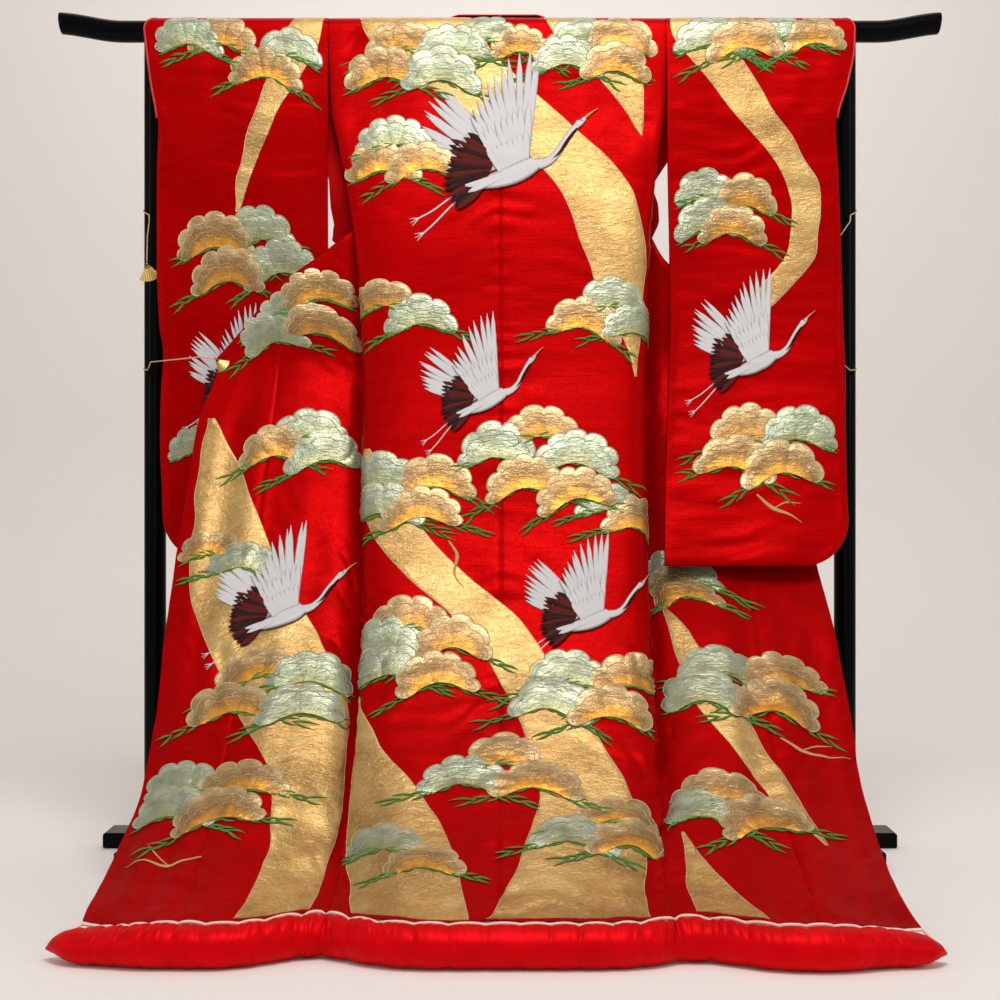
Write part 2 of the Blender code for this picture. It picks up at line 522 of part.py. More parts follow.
def collar_grid(side):
    """Half of the collar: from the middle of the neck along the shoulder line, mitred
    round its corner, then down beside the front edge behind the back panel."""
    rows = []
    starts = [(x, 0.0, x * 0.16 + 0.0002, COLLAR_WIDE) for x in np.linspace(0.0002, 0.0930, 6)]
    x0, x1, w1, x2, dw = (float(BEHIND_ROWS[side][-1][k]) for k in range(1, 6))
    x3, w3 = 0.50, float(down_behind(0.912))
    w2 = w3 + dw
    for q in [0.004, 0.009, 0.014, 0.020, 0.028, 0.045, 0.08, 0.13, 0.19, 0.26, 0.33]:
        c0, c1, c2, c3 = (1 - q)**3, 3 * q * (1 - q)**2, 3 * q * q * (1 - q), q**3
        x = c0 * x0 + c1 * x1 + c2 * x2 + c3 * x3 - 0.0030
        w = c1 * w1 + c2 * w2 + c3 * w3
        starts.append((x, w, x - COLLAR_WIDE, w + COLLAR_WIDE * math.exp(-w / 0.09)))
    for xa, wa, xb, wb in starts:
        t = np.array([0, 0.1, 0.22, 0.36, 0.52, 0.75, 1.0])
        px, pw = xa + (xb - xa) * t, np.maximum(wa + (wb - wa) * t, 0.0012)
        f, h = behind(pw, lean(side, px, pw))
        rows.append(np.column_stack([side * px, f, h]))
    return np.array(rows)


for side, word in ((-1, "left"), (1, "right")):
    slab(f"collar_{word}", collar_grid(side), SILK, 0.0026)

# ---------------------------------------------------------------- hem roll and piping
def hem_line(zones):
    return body(np.full(np.shape(zones), LENGTH), zones)


# (first zone, last zone, sections, how the radius swells along it)
ROLLS = {"left": (-3.0, -1.09, 15, [0, 0.04, 0.10, 0.22, 0.90, 0.955, 1], [0.14, 0.45, 0.75, 1, 1, 0.88, 0.55]),
         "back": (-0.91, 0.91, 17, [0, 0.035, 0.08, 0.92, 0.965, 1], [0.55, 0.88, 1, 1, 0.88, 0.55]),
         "right": (1.09, 3.0, 15, [0, 0.045, 0.10, 0.78, 0.90, 0.96, 1], [0.55, 0.88, 1, 1, 0.75, 0.45, 0.14])}
for word, (z0, z1, count, places, swell) in ROLLS.items():
    t = np.linspace(0, 1, 400)
    path = hem_line(z0 + (z1 - z0) * t)
    for _ in range(400):
        path[1:-1, :2] = 0.25 * path[:-2, :2] + 0.5 * path[1:-1, :2] + 0.25 * path[2:, :2]
    path[:, 1] += ROLL_FORWARD - 0.845
    if word == "left":
        path[:40, 0] -= 0.022 * (1 - t[:40] / t[40])
    if word == "right":
        path[-40:, 0] += 0.022 * (1 - (1 - t[-40:]) / t[40])
    path = path[np.linspace(0, 399, count).astype(int)]
    r = ROLL_RADIUS * np.interp(np.linspace(0, 1, count), places, swell)
    path[:, 2] = r + 0.0002
    tube(f"hem_roll_{word}", path, r, SATIN, sides=12)

# white piping between the cloth and the roll
dense = hem_line(np.linspace(-2.985, 2.985, 700))
for _ in range(60):                                    # it bridges the folds at the side seams
    dense[1:-1, :2] = 0.25 * dense[:-2, :2] + 0.5 * dense[1:-1, :2] + 0.25 * dense[2:, :2]
_t = np.gradient(dense, axis=0)
_t /= np.linalg.norm(_t, axis=1)[:, None]
dense[:, 0] -= 0.0074 * _t[:, 1]
dense[:, 1] += 0.0074 * _t[:, 0]
line = dense[np.linspace(0, 699, 57).astype(int)]
line[:, 2] = 2 * ROLL_RADIUS - 0.0010
tube("hem_piping", line, PIPING_RADIUS, WHITE, sides=6)

# ---------------------------------------------------------------- sleeve edging
for side, word in ((-1, "left"), (1, "right")):
    # from the lower end of the opening up the front edge, over the bar, down the back edge
    downs = np.array([0.174, 0.150, 0.120, 0.090, 0.060, 0.030, 0.0])
    front = sleeve_point(side, 1, downs, np.ones(7))
    back = sleeve_point(side, -1, downs[::-1], np.ones(7))
    over = []
    for k in range(1, 8):
        ang = math.pi * k / 8
        mix = step(0, math.pi, ang)
        p = front[-1] * (1 - mix) + back[0] * mix
        over.append([p[0], WRAP * math.cos(ang), BAR_HEIGHT + WRAP * math.sin(ang)])
    edge = np.concatenate([front, over, back[:5]])
    edge[:, 0] += side * 0.0036
    tube(f"cuff_{word}", edge, 0.0020, ROSE, sides=6)

# ---------------------------------------------------------------- cords and clips
CORD_RADIUS = 0.0011


def fan(name, top, down_dir, height, spread, material, thick=0.0022):
    """Small folding-fan clip: leaf opening away from its pivot, flat towards the viewer."""
    top = np.asarray(top, float)
    d = np.asarray(down_dir, float)
    d /= np.linalg.norm(d)
    s = np.array([d[2], 0, -d[0]])
    outline = [(-0.0022, -0.003), (0.0022, -0.003)]
    outline += [(height * math.sin(a) * (1.0 if k % 2 else 0.965), height * math.cos(a) * (1.0 if k % 2 else 0.965))
                for k, a in enumerate(np.linspace(spread, -spread, 11))]
    pts = []
    for depth in (thick / 2, -thick / 2):
        for a, b in outline:
            p = top + s * a + d * b
            pts.append([p[0], p[1] + depth, p[2]])
    n = len(outline)
    faces = [tuple(range(n)), tuple(range(2 * n - 1, n - 1, -1))]
    faces += [(k, n + k, n + (k + 1) % n, (k + 1) % n) for k in range(n)]
    return add_mesh(name, pts, faces, material)


def cord(name, points, material=CORD):
    curve = bpy.data.curves.new(name, "CURVE")
    curve.dimensions = "3D"
    spline = curve.splines.new("POLY")
    spline.points.add(len(points) - 1)
    for pt, p in zip(spline.points, points):
        pt.co = (p[0], -p[1], p[2], 1)
    curve.bevel_depth = CORD_RADIUS
    curve.bevel_resolution = 2
    curve.use_fill_caps = True
    curve.materials.append(material)
    ob = bpy.data.objects.new(name, curve)
    bpy.context.scene.collection.objects.link(ob)
    return ob


def post_loop(side, height, slope, leave, start=100, r=POST_RADIUS + CORD_RADIUS + 0.0004):
    """Cord round a post: from the back round its outer side to the angle `leave`."""
    pts = []
    for a in np.linspace(math.radians(start), math.radians(leave), 14):
        pts.append((side * POST_X + side * r * math.cos(a), -r * math.sin(a), height - slope * (math.radians(start) - a)))
    return pts


# left: a fan hanging from its cord, and a fan that grips the turned-over corner
hang = post_loop(-1, 1.222, 0.010, -70)
e = hang[-1]
hang += [(e[0] + 0.0005, e[1] + 0.0010, e[2] - 0.012), (e[0] - 0.003, e[1] + 0.0010, e[2] - 0.040),
         (-0.6665, e[1] + 0.0010, 1.098)]
cord("cord_left_high", hang)
fan("fan_left_high", (-0.6665, hang[-1][1], 1.0935), (0.06, 0, -1), 0.022, 0.62, BRASS)
corner = FRONT[-1][0][HIDDEN + TURN, -1]
grip = corner + np.array([-0.004, 0.0110, 0.002])
tie = post_loop(-1, 0.908, 0.003, -62)
e = tie[-1]
tie += [(e[0] + 0.012, 0.052, 0.912), (grip[0] - 0.030, grip[1], grip[2] + 0.004), (grip[0] - 0.0045, grip[1], grip[2] + 0.0005)]
cord("cord_left_low", tie)
fan("fan_left_low", grip, (0.75, 0, -0.66), 0.026, 0.62, BRASS)

# right: the same, mostly behind the sleeve
corner = FRONT[1][0][HIDDEN + TURN, -1]
grip = corner + np.array([0.004, 0.0110, 0.002])
tie = post_loop(1, 0.908, 0.003, -75)
e = tie[-1]
tie += [(e[0] - 0.012, e[1] + 0.004, 0.909), (grip[0] + 0.030, grip[1], grip[2] + 0.004), (grip[0] + 0.0045, grip[1], grip[2] + 0.0005)]
cord("cord_right_low", tie)
fan("fan_right_low", grip, (-0.75, 0, -0.66), 0.026, 0.62, BRASS)
hang = post_loop(1, 1.222, 0.010, -72)
e = hang[-1]
hang += [(e[0] - 0.001, e[1] + 0.0016, e[2] - 0.012), (0.6400, 0.0265, 1.150), (0.6320, 0.0265, 1.098)]
cord("cord_right_high", hang)
fan("fan_right_high", (0.6320, hang[-1][1], 1.0935), (-0.06, 0, -1), 0.022, 0.62, BRASS)

print("body length", round(LENGTH, 4))

# ---------------------------------------------------------------- into the shared frame
low = np.full(3, 1e9)
high = -low
for ob in bpy.data.objects:
    if ob.type == "MESH":
        pts = np.array([v.co[:] for v in ob.data.vertices])
        low, high = np.minimum(low, pts.min(0)), np.maximum(high, pts.max(0))
shift = np.array([-(low[0] + high[0]) / 2, -(low[1] + high[1]) / 2, -low[2]])
print("shift", shift, "box", high - low)
for ob in bpy.data.objects:
    if ob.type == "MESH":
        pts = np.array([v.co[:] for v in ob.data.vertices]) + shift
        ob.data.vertices.foreach_set("co", pts.ravel())
        ob.data.update()
    else:
        for pt in ob.data.splines[0].points:
            pt.co = (pt.co[0] + shift[0], pt.co[1] + shift[1], pt.co[2] + shift[2], 1)
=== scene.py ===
"""Looks of the uchikake wedding kimono on its lacquered stand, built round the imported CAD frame."""

import math

import bpy
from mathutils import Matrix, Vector
import numpy as np


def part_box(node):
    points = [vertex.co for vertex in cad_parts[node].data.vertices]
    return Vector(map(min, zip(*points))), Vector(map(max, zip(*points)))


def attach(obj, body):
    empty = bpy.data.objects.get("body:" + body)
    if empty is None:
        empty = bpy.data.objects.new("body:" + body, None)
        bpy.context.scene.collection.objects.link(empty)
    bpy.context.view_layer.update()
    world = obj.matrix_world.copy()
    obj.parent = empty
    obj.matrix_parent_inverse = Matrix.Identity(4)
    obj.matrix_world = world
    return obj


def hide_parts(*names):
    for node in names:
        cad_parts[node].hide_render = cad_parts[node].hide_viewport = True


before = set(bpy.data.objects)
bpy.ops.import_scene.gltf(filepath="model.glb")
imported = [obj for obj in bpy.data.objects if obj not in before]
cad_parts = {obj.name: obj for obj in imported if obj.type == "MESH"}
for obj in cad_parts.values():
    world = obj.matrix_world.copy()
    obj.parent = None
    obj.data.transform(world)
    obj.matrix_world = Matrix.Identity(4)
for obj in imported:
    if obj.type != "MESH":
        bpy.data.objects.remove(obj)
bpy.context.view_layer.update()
_lo, _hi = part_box("stand_post_left")
SHIFT = 0.5 * (_lo[1] + _hi[1])          # the stand's plane in the shared frame: y = SHIFT - forward

# ---------------------------------------------------------------- driving dimensions (as in the CAD)
BAR_HEIGHT = 1.5437
BAR_RADIUS = 0.0205
BAR_HALF = 0.8335
BAR_LIFT = 0.016
BAR_STRAIGHT = 0.715
POST_X = 0.655
POST_RADIUS = 0.0205
FOOT_HEIGHT = 0.029
CLOTH = 0.0024
SEAM = 0.0003
WRAP = BAR_RADIUS + 0.0022 + CLOTH / 2
ROLL_RADIUS = 0.0285
ROLL_FORWARD = 0.872
PIPING_RADIUS = 0.0026
FOLD_RADIUS = 0.0060
CORD_RADIUS = 0.0011
# ---------------------------------------------------------------- small helpers
def smooth_curve(x, xp, *columns):
    """Smooth interpolation of table columns at x (cubic, slopes limited)."""
    x = np.asarray(x, float)
    xp = np.asarray(xp, float)
    if xp[0] > xp[-1]:
        xp = xp[::-1]
        columns = [np.asarray(c, float)[::-1] for c in columns]
    out = []
    for c in columns:
        c = np.asarray(c, float)
        d = np.diff(c) / np.diff(xp)
        m = np.zeros_like(c)
        same = d[1:] * d[:-1] > 0
        m[1:-1] = np.where(same, 2 * d[1:] * d[:-1] / np.where(same, d[1:] + d[:-1], 1.0), 0)
        m[0], m[-1] = d[0], d[-1]
        i = np.clip(np.searchsorted(xp, x) - 1, 0, len(xp) - 2)
        h = xp[i + 1] - xp[i]
        t = np.clip((x - xp[i]) / h, 0, 1)
        out.append((2 * t**3 - 3 * t**2 + 1) * c[i] + (t**3 - 2 * t**2 + t) * h * m[i]
                   + (-2 * t**3 + 3 * t**2) * c[i + 1] + (t**3 - t**2) * h * m[i + 1])
    return out if len(out) > 1 else out[0]


def step(a, b, x):
    t = np.clip((np.asarray(x, float) - a) / (b - a), 0, 1)
    return t * t * (3 - 2 * t)


# ---------------------------------------------------------------- the body
# One row per height down the body.  forward: middle of the back.  xb: edge of the back
# panels, dip: depth of the fold at the side seam, off: front panel against the back,
# xo: seam of the overlap, xe: front edge.  l and r are the left and right halves.
BODY_COLUMNS = "height forward xb_l dip_l off_l xo_l xe_l xb_r dip_r off_r xo_r xe_r rec_l rec_r".split()
BODY_ROWS = [
    (1.5437, 0.0243, 0.3235, 0.000, -0.001, 0.404, 0.521, 0.3116, 0.000, -0.001, 0.404, 0.521, -0.004, -0.004),
    (1.5000, 0.0310, 0.3215, 0.000, -0.001, 0.404, 0.521, 0.3112, 0.000, -0.001, 0.404, 0.521, -0.004, -0.004),
    (1.4000, 0.0450, 0.3170, 0.004, -0.002, 0.404, 0.521, 0.3090, 0.004, -0.002, 0.404, 0.521, -0.004, -0.004),
    (1.3000, 0.0700, 0.2980, 0.016, -0.010, 0.404, 0.521, 0.2945, 0.018, -0.020, 0.404, 0.521, -0.004, -0.004),
    (1.1600, 0.1020, 0.2720, 0.030, -0.022, 0.404, 0.521, 0.2800, 0.080, -0.068, 0.404, 0.521, -0.004, -0.004),
    (1.0000, 0.1340, 0.2545, 0.056, -0.044, 0.404, 0.521, 0.2710, 0.100, -0.082, 0.404, 0.521, -0.006, -0.004),
    (0.9050, 0.1580, 0.2505, 0.078, -0.066, 0.404, 0.521, 0.2686, 0.112, -0.093, 0.404, 0.521, -0.008, -0.006),
    (0.7900, 0.1960, 0.2470, 0.078, -0.058, 0.409, 0.552, 0.2650, 0.110, -0.089, 0.412, 0.535, -0.010, -0.008),
    (0.6600, 0.2430, 0.2432, 0.070, -0.050, 0.420, 0.563, 0.2608, 0.120, -0.100, 0.420, 0.552, -0.012, -0.008),
    (0.5400, 0.3000, 0.2370, 0.062, -0.040, 0.424, 0.571, 0.2596, 0.130, -0.108, 0.430, 0.567, -0.016, -0.010),
    (0.4200, 0.3700, 0.2336, 0.055, -0.020, 0.433, 0.573, 0.2564, 0.082, -0.055, 0.438, 0.578, -0.020, -0.012),
    (0.3100, 0.4600, 0.2322, 0.055, -0.012, 0.436, 0.569, 0.2541, 0.060, -0.028, 0.437, 0.580, -0.026, -0.018),
    (0.2000, 0.5800, 0.2355, 0.055, -0.006, 0.443, 0.568, 0.2498, 0.050, -0.014, 0.437, 0.573, -0.036, -0.026),
    (0.1250, 0.6900, 0.2394, 0.046, -0.003, 0.448, 0.582, 0.2444, 0.038, -0.007, 0.441, 0.577, -0.048, -0.034),
    (0.0760, 0.7900, 0.2425, 0.027, 0.000, 0.446, 0.592, 0.2450, 0.022, 0.000, 0.446, 0.583, -0.060, -0.042),
    (0.0570, 0.8450, 0.2460, 0.010, 0.000, 0.444, 0.600, 0.2480, 0.008, 0.000, 0.444, 0.592, -0.068, -0.048),
]
# over the bar the cloth follows its round top
_arc = [(BAR_HEIGHT + WRAP * math.cos(a), WRAP * math.sin(a)) + BODY_ROWS[0][2:]
        for a in np.linspace(0, math.pi / 2, 10)[:-1]]
BODY_ROWS = _arc + BODY_ROWS
BODY = {name: np.array([row[i] for row in BODY_ROWS]) for i, name in enumerate(BODY_COLUMNS)}
_runs = np.hypot(np.diff(BODY["height"]), np.diff(BODY["forward"]))
BODY_RUN = np.concatenate([[0], np.cumsum(_runs)])     # distance down the back
LENGTH = BODY_RUN[-1]
ZONE_STEPS = 60


def section(run):
    """Points of one level, from the left front edge to the right one, evenly spaced in
    each of the six zones: overlap, front, back | back, front, overlap."""
    v = dict(zip(BODY_COLUMNS, smooth_curve(run, BODY_RUN, *[BODY[c] for c in BODY_COLUMNS])))
    poly, marks = [(0.0, 0.004)], []
    halves = []
    for side, sign in (("l", -1), ("r", 1)):
        xb, dip, off, xo, xe, rec = (float(v[k + "_" + side]) for k in ("xb", "dip", "off", "xo", "xe", "rec"))
        w = min(1.0, dip / 0.04)
        half = [(0.30 * xb, 0.003), (0.60 * xb, 0.002), (0.84 * xb, -0.001 * w), (xb - 0.006, -0.008 * w),
                (xb + 0.004 * w, -0.42 * dip), (xb - 0.15 * dip, -0.80 * dip),
                (xb - 0.18 * dip, -dip - 0.003 * w),
                (xb + 0.10 * dip + 0.002, -dip - 0.002), (xb + 0.014 + 0.1 * dip, 0.45 * off - 0.55 * dip),
                (xb + 0.045, off - 0.006), (xb + 0.09, off), (0.5 * (xb + 0.09 + xo), off + 0.003),
                (xo, off), (0.5 * (xo + xe), off + 0.35 * rec), (xe - 0.02, off + 0.85 * rec),
                (xe, off + rec), (xe, off + rec), (xe, off + rec)]
        halves.append([(sign * x, g) for x, g in half])
    poly = np.array(halves[0][::-1] + [(0.0, 0.004)] + halves[1])
    n0 = len(halves[0])
    # control number -> curve parameter: centre n0, seams 7 and 13 steps out
    knots = [1.0, n0 - 13, n0 - 7, n0, n0 + 7, n0 + 13, 2 * n0 - 1.0]
    rows = []
    for a, b in zip(knots[:-1], knots[1:]):
        t = np.linspace(a, b, 161)
        i = np.clip(t.astype(int), 1, len(poly) - 3)
        f = (t - i)[:, None]
        p0, p1, p2, p3 = poly[i - 1], poly[i], poly[i + 1], poly[np.minimum(i + 2, len(poly) - 1)]
        q = ((1 - f)**3 * p0 + (3 * f**3 - 6 * f**2 + 4) * p1
             + (-3 * f**3 + 3 * f**2 + 3 * f + 1) * p2 + f**3 * p3) / 6
        d = np.concatenate([[0], np.cumsum(np.hypot(*np.diff(q, axis=0).T))])
        e = np.linspace(0, d[-1], ZONE_STEPS + 1)
        q = np.stack([np.interp(e, d, q[:, 0]), np.interp(e, d, q[:, 1])], 1)
        rows.append(q if not rows else q[1:])
    q = np.concatenate(rows)
    return np.stack([q[:, 0], float(v["forward"]) + q[:, 1], np.full(len(q), float(v["height"]))], 1)


RUNS = np.linspace(0, LENGTH, 186)
BODY_GRID = np.array([section(r) for r in RUNS])


BODY_NORMAL = np.cross(np.gradient(BODY_GRID, axis=0), np.gradient(BODY_GRID, axis=1))
BODY_NORMAL /= np.linalg.norm(BODY_NORMAL, axis=2, keepdims=True)


def body(run, zone, grid=None):
    """Point of the body's middle surface: run down from the shoulder, zone -3..3 across."""
    r = np.clip(np.asarray(run, float) / LENGTH * (len(RUNS) - 1), 0, len(RUNS) - 1.0001)
    z = np.clip((np.asarray(zone, float) + 3) * ZONE_STEPS, 0, 6 * ZONE_STEPS - 0.0001)
    r, z = np.broadcast_arrays(r, z)
    i, j = r.astype(int), z.astype(int)
    a, b = (r - i)[..., None], (z - j)[..., None]
    g = BODY_GRID if grid is None else grid
    return ((1 - a) * ((1 - b) * g[i, j] + b * g[i, j + 1])
            + a * ((1 - b) * g[i + 1, j] + b * g[i + 1, j + 1]))


def run_at(height):
    return np.interp(-np.asarray(height, float), -BODY["height"], BODY_RUN)


# ---------------------------------------------------------------- behind the bar
# Where the front panels hang behind the bar before they turn over: distance down from
# the shoulder line against (forward, height).
def behind(w, lean):
    """lean: how far forward the cloth has come 0.42 m down."""
    w = np.asarray(w, float)
    quarter = WRAP * math.pi / 2
    ang = np.clip(w / WRAP, 0, math.pi / 2)
    f = -WRAP * np.sin(ang)
    h = BAR_HEIGHT + WRAP * np.cos(ang) - np.clip(w - quarter, 0, None)
    return f + (lean + WRAP) * step(0.085, 0.40, w), h


def down_behind(height):
    return WRAP * math.pi / 2 + (BAR_HEIGHT - np.asarray(height, float))


# Turned-over edge of each front: zone across against height of the edge.
FOLD_TABLE = {-1: [(1.0, 1.155), (1.5, 1.100), (2.0, 1.045), (2.5, 0.975), (3.0, 0.912)],
              1: [(1.0, 1.170), (1.3, 1.100), (2.0, 1.020), (2.5, 0.965), (3.0, 0.912)]}
# The hidden run of a front panel in (distance from the middle, distance down) from the
# shoulder line: where it starts, two places it is drawn towards, then the turned edge.
BEHIND_COLUMNS = "zone shoulder high_x high_w low_x low_w".split()
BEHIND_ROWS = {-1: [(1.0, 0.3225, 0.288, 0.290, 0.238, 0.020), (1.2, 0.2950, 0.256, 0.330, 0.222, 0.030),
                    (2.0, 0.1900, 0.185, 0.450, 0.215, 0.020),
                    (3.0, 0.0950, 0.095, 0.600, 0.250, 0.014)],
               1: [(1.0, 0.3100, 0.278, 0.290, 0.245, 0.016), (1.2, 0.2830, 0.244, 0.330, 0.226, 0.028),
                   (2.0, 0.1850, 0.180, 0.450, 0.215, 0.020),
                   (3.0, 0.0950, 0.095, 0.600, 0.250, 0.014)]}


def lean(side, x, w):
    """How far forward the hidden cloth hangs: in front of the left sleeve, else well back."""
    if side < 0:
        return 0.0545 + 0.0 * np.asarray(x, float)
    return 0.006 + 0.0 * np.asarray(x, float)


def front_behind(side, zone, q):
    """Hidden run of a front panel: q 0 at the shoulder line, 1 at the turned-over edge."""
    zone, q = np.broadcast_arrays(np.asarray(zone, float), np.asarray(q, float))
    t = FOLD_TABLE[side]
    top = smooth_curve(zone, [r[0] for r in t], [r[1] for r in t])
    edge = body(run_at(top), side * zone)
    rows = np.array(BEHIND_ROWS[side])
    x0, x1, w1, x2, dw = smooth_curve(zone, rows[:, 0], *rows[:, 1:].T)
    x3, w3 = np.abs(edge[..., 0]), down_behind(edge[..., 2])
    w2 = w3 + dw
    c0, c1, c2, c3 = (1 - q)**3, 3 * q * (1 - q)**2, 3 * q * q * (1 - q), q**3
    x = c0 * x0 + c1 * x1 + c2 * x2 + c3 * x3
    w = c1 * w1 + c2 * w2 + c3 * w3
    f, h = behind(w, lean(side, x, w))
    goal = edge[..., 1] - 2 * FOLD_RADIUS
    f = f + (goal - f) * step(0.80, 1.0, q)
    return np.stack([side * x, f, h], -1), edge


HIDDEN, TURN, SHOWN = 60, 8, 130


def front_grid(side):
    """Dense grid of one front: rows from the shoulder round the turned edge to the hem,
    columns over the zones 1 to 3; with the direction across its thickness."""
    zones = np.linspace(1, 3, 2 * ZONE_STEPS + 1)
    out = [front_behind(side, zones, np.full_like(zones, q))[0] for q in 0.0015 + 0.9985 * np.linspace(0, 1, HIDDEN + 1)**1.8]
    edge = front_behind(side, zones, np.ones_like(zones))[1]
    away = np.array([side * 0.69, 0, 0.72])
    centre = edge - np.array([0, FOLD_RADIUS, 0])
    for k in range(1, TURN + 1):
        a = -math.pi / 2 + math.pi * k / TURN
        out.append(centre + FOLD_RADIUS * (away * math.cos(a) + np.array([0, 1, 0]) * math.sin(a)))
    top = run_at(edge[:, 2])
    runs = []
    for k in range(1, SHOWN + 1):
        f = k / SHOWN
        runs.append(top + (LENGTH - top) * f)
        out.append(body(runs[-1], side * zones))
    grid = np.array(out)
    n = np.cross(np.gradient(grid, axis=0), np.gradient(grid, axis=1))
    n /= np.maximum(np.linalg.norm(n, axis=2, keepdims=True), 1e-12)
    shown = body(np.array(runs), side * zones[None, :], BODY_NORMAL)
    sign = np.sign(np.sum(n[HIDDEN + TURN + 20, 60] * shown[19, 60]))
    for k in range(SHOWN):
        n[HIDDEN + TURN + 1 + k] = shown[k] * sign
    return grid, n / np.linalg.norm(n, axis=2, keepdims=True)


def across_grid(grid, rows, zones):
    """Rows of a front grid at the given zones."""
    z = np.clip((np.asarray(zones, float) - 1) * ZONE_STEPS, 0, 2 * ZONE_STEPS - 1e-6)
    j = z.astype(int)
    b = (z - j)[None, :, None]
    g = grid[np.asarray(rows, int)]
    return (1 - b) * g[:, j] + b * g[:, j + 1]


# ---------------------------------------------------------------- sleeves
# One row per height: forward place of the front layer, inner and outer edge.
SLEEVE_COLUMNS = "height forward inner outer".split()
SLEEVE_ROWS = {
    -1: [(1.5437, 0.0243, 0.3245, 0.6680), (1.5000, 0.0310, 0.3240, 0.6620), (1.4400, 0.0380, 0.3235, 0.6530),
         (1.3620, 0.0460, 0.3230, 0.6400), (1.2600, 0.0470, 0.3235, 0.6430), (1.1000, 0.0470, 0.3230, 0.6430),
         (0.9800, 0.0470, 0.3225, 0.6380), (0.9300, 0.0470, 0.3220, 0.6310), (0.8600, 0.0470, 0.3220, 0.6350),
         (0.7700, 0.0470, 0.3215, 0.6370), (0.6600, 0.0470, 0.3210, 0.6330), (0.5400, 0.0470, 0.3210, 0.6300)],
    1: [(1.5437, 0.0243, 0.3133, 0.6660), (1.5000, 0.0310, 0.3136, 0.6630), (1.4400, 0.0380, 0.3140, 0.6500),
        (1.3620, 0.0460, 0.3140, 0.6290), (1.2600, 0.0540, 0.3145, 0.6330), (1.1000, 0.0700, 0.3160, 0.6350),
        (0.9800, 0.0880, 0.3160, 0.6350), (0.9000, 0.1060, 0.3120, 0.6350), (0.7900, 0.1400, 0.3050, 0.6290),
        (0.6600, 0.1850, 0.2970, 0.6230), (0.5800, 0.2180, 0.2930, 0.6210), (0.5380, 0.2360, 0.2910, 0.6200)]}
SLEEVE_CORNER = 0.085
SLEEVE_OPENING = 1.362      # height of the lower end of the sleeve opening
SLEEVE_SPACE = 0.0150       # between the two layers


def sleeve_point(side, layer, down, across):
    """layer +1 front, -1 back; down: distance below the bar's axis; across 0 inner, 1 outer."""
    down, across = np.broadcast_arrays(np.asarray(down, float), np.asarray(across, float))
    rows = np.array(SLEEVE_ROWS[side])
    bottom = rows[-1, 0]
    h = BAR_HEIGHT - down
    f, xi, xo = smooth_curve(h, rows[:, 0], rows[:, 1], rows[:, 2], rows[:, 3])
    low = np.clip(1 - (h - bottom) / SLEEVE_CORNER, 0, 1)
    corner = SLEEVE_CORNER * (1 - np.sqrt(np.clip(1 - low**2, 0, 1)))
    if layer < 0:
        inside = POST_X - POST_RADIUS - 0.0090
        keep = 1 - step(1.42, 1.375, h)
        xo = np.where(h > 1.375, np.minimum(xo, inside * keep + xo * (1 - keep)), xo)
    x_edge = xo - corner
    x = xi + across * (x_edge - xi)
    # distance to the sewn outer edge and to the sewn bottom
    sewn = step(SLEEVE_OPENING + 0.02, SLEEVE_OPENING - 0.03, h)
    reach = 0.016
    side_gap = np.clip((x_edge - x) / reach, 0, 1)
    low_gap = np.clip((h - bottom) / reach, 0, 1)
    curl = np.sqrt(np.clip(1 - (1 - np.minimum(side_gap, 1))**2, 0, 1)) * sewn + (1 - sewn)
    curl = curl * np.sqrt(np.clip(1 - (1 - low_gap)**2, 0, 1))
    gap = SLEEVE_SPACE / 2
    small = CLOTH / 2 + 0.0004
    front_mid = f
    if layer > 0:
        f = front_mid - gap + small + (gap - small) * curl
    else:
        back = front_mid - gap - small - (gap - small) * curl
        f = -WRAP + (back + WRAP) * step(0.06, 0.165, down)
    return np.stack([side * x, f, h], -1)


def sleeve(side, downs, arc_steps, acrosses):
    """Grid: up the front layer, over the bar, down the back layer."""
    acrosses = np.asarray(acrosses, float)
    grid = [sleeve_point(side, 1, d, acrosses) for d in downs[::-1]]
    a0 = sleeve_point(side, 1, 0.0, acrosses)
    a1 = sleeve_point(side, -1, 0.0, acrosses)
    for k in range(1, arc_steps):
        ang = math.pi * k / arc_steps
        mix = step(0, math.pi, ang)
        p = a0 * (1 - mix) + a1 * mix
        p[:, 1] = WRAP * math.cos(ang)
        p[:, 2] = BAR_HEIGHT + WRAP * math.sin(ang)
        grid.append(p)
    grid += [sleeve_point(side, -1, d, acrosses) for d in downs]
    return np.array(grid)


# ---------------------------------------------------------------- noise and wrinkles
def _hash(ix, iy, seed):
    v = np.sin(ix * 127.1 + iy * 311.7 + seed * 74.7) * 43758.5453
    return (v - np.floor(v)) * 2 - 1


def noise(x, y, seed=0):
    """Smooth noise in -1..1."""
    x, y = np.broadcast_arrays(np.asarray(x, float), np.asarray(y, float))
    ix, iy = np.floor(x), np.floor(y)
    fx, fy = x - ix, y - iy
    fx, fy = fx * fx * fx * (fx * (6 * fx - 15) + 10), fy * fy * fy * (fy * (6 * fy - 15) + 10)
    a, b = _hash(ix, iy, seed), _hash(ix + 1, iy, seed)
    c, d = _hash(ix, iy + 1, seed), _hash(ix + 1, iy + 1, seed)
    return (a * (1 - fx) + b * fx) * (1 - fy) + (c * (1 - fx) + d * fx) * fy


def ridge(v, sharp=2.0):
    """Noise to soft creases: 0 on the flat, 1 on the crest."""
    return np.clip(1 - np.abs(v) * sharp, 0, 1) ** 2


def bump(x, centre, width):
    return np.exp(-((np.asarray(x) - centre) / width) ** 2)


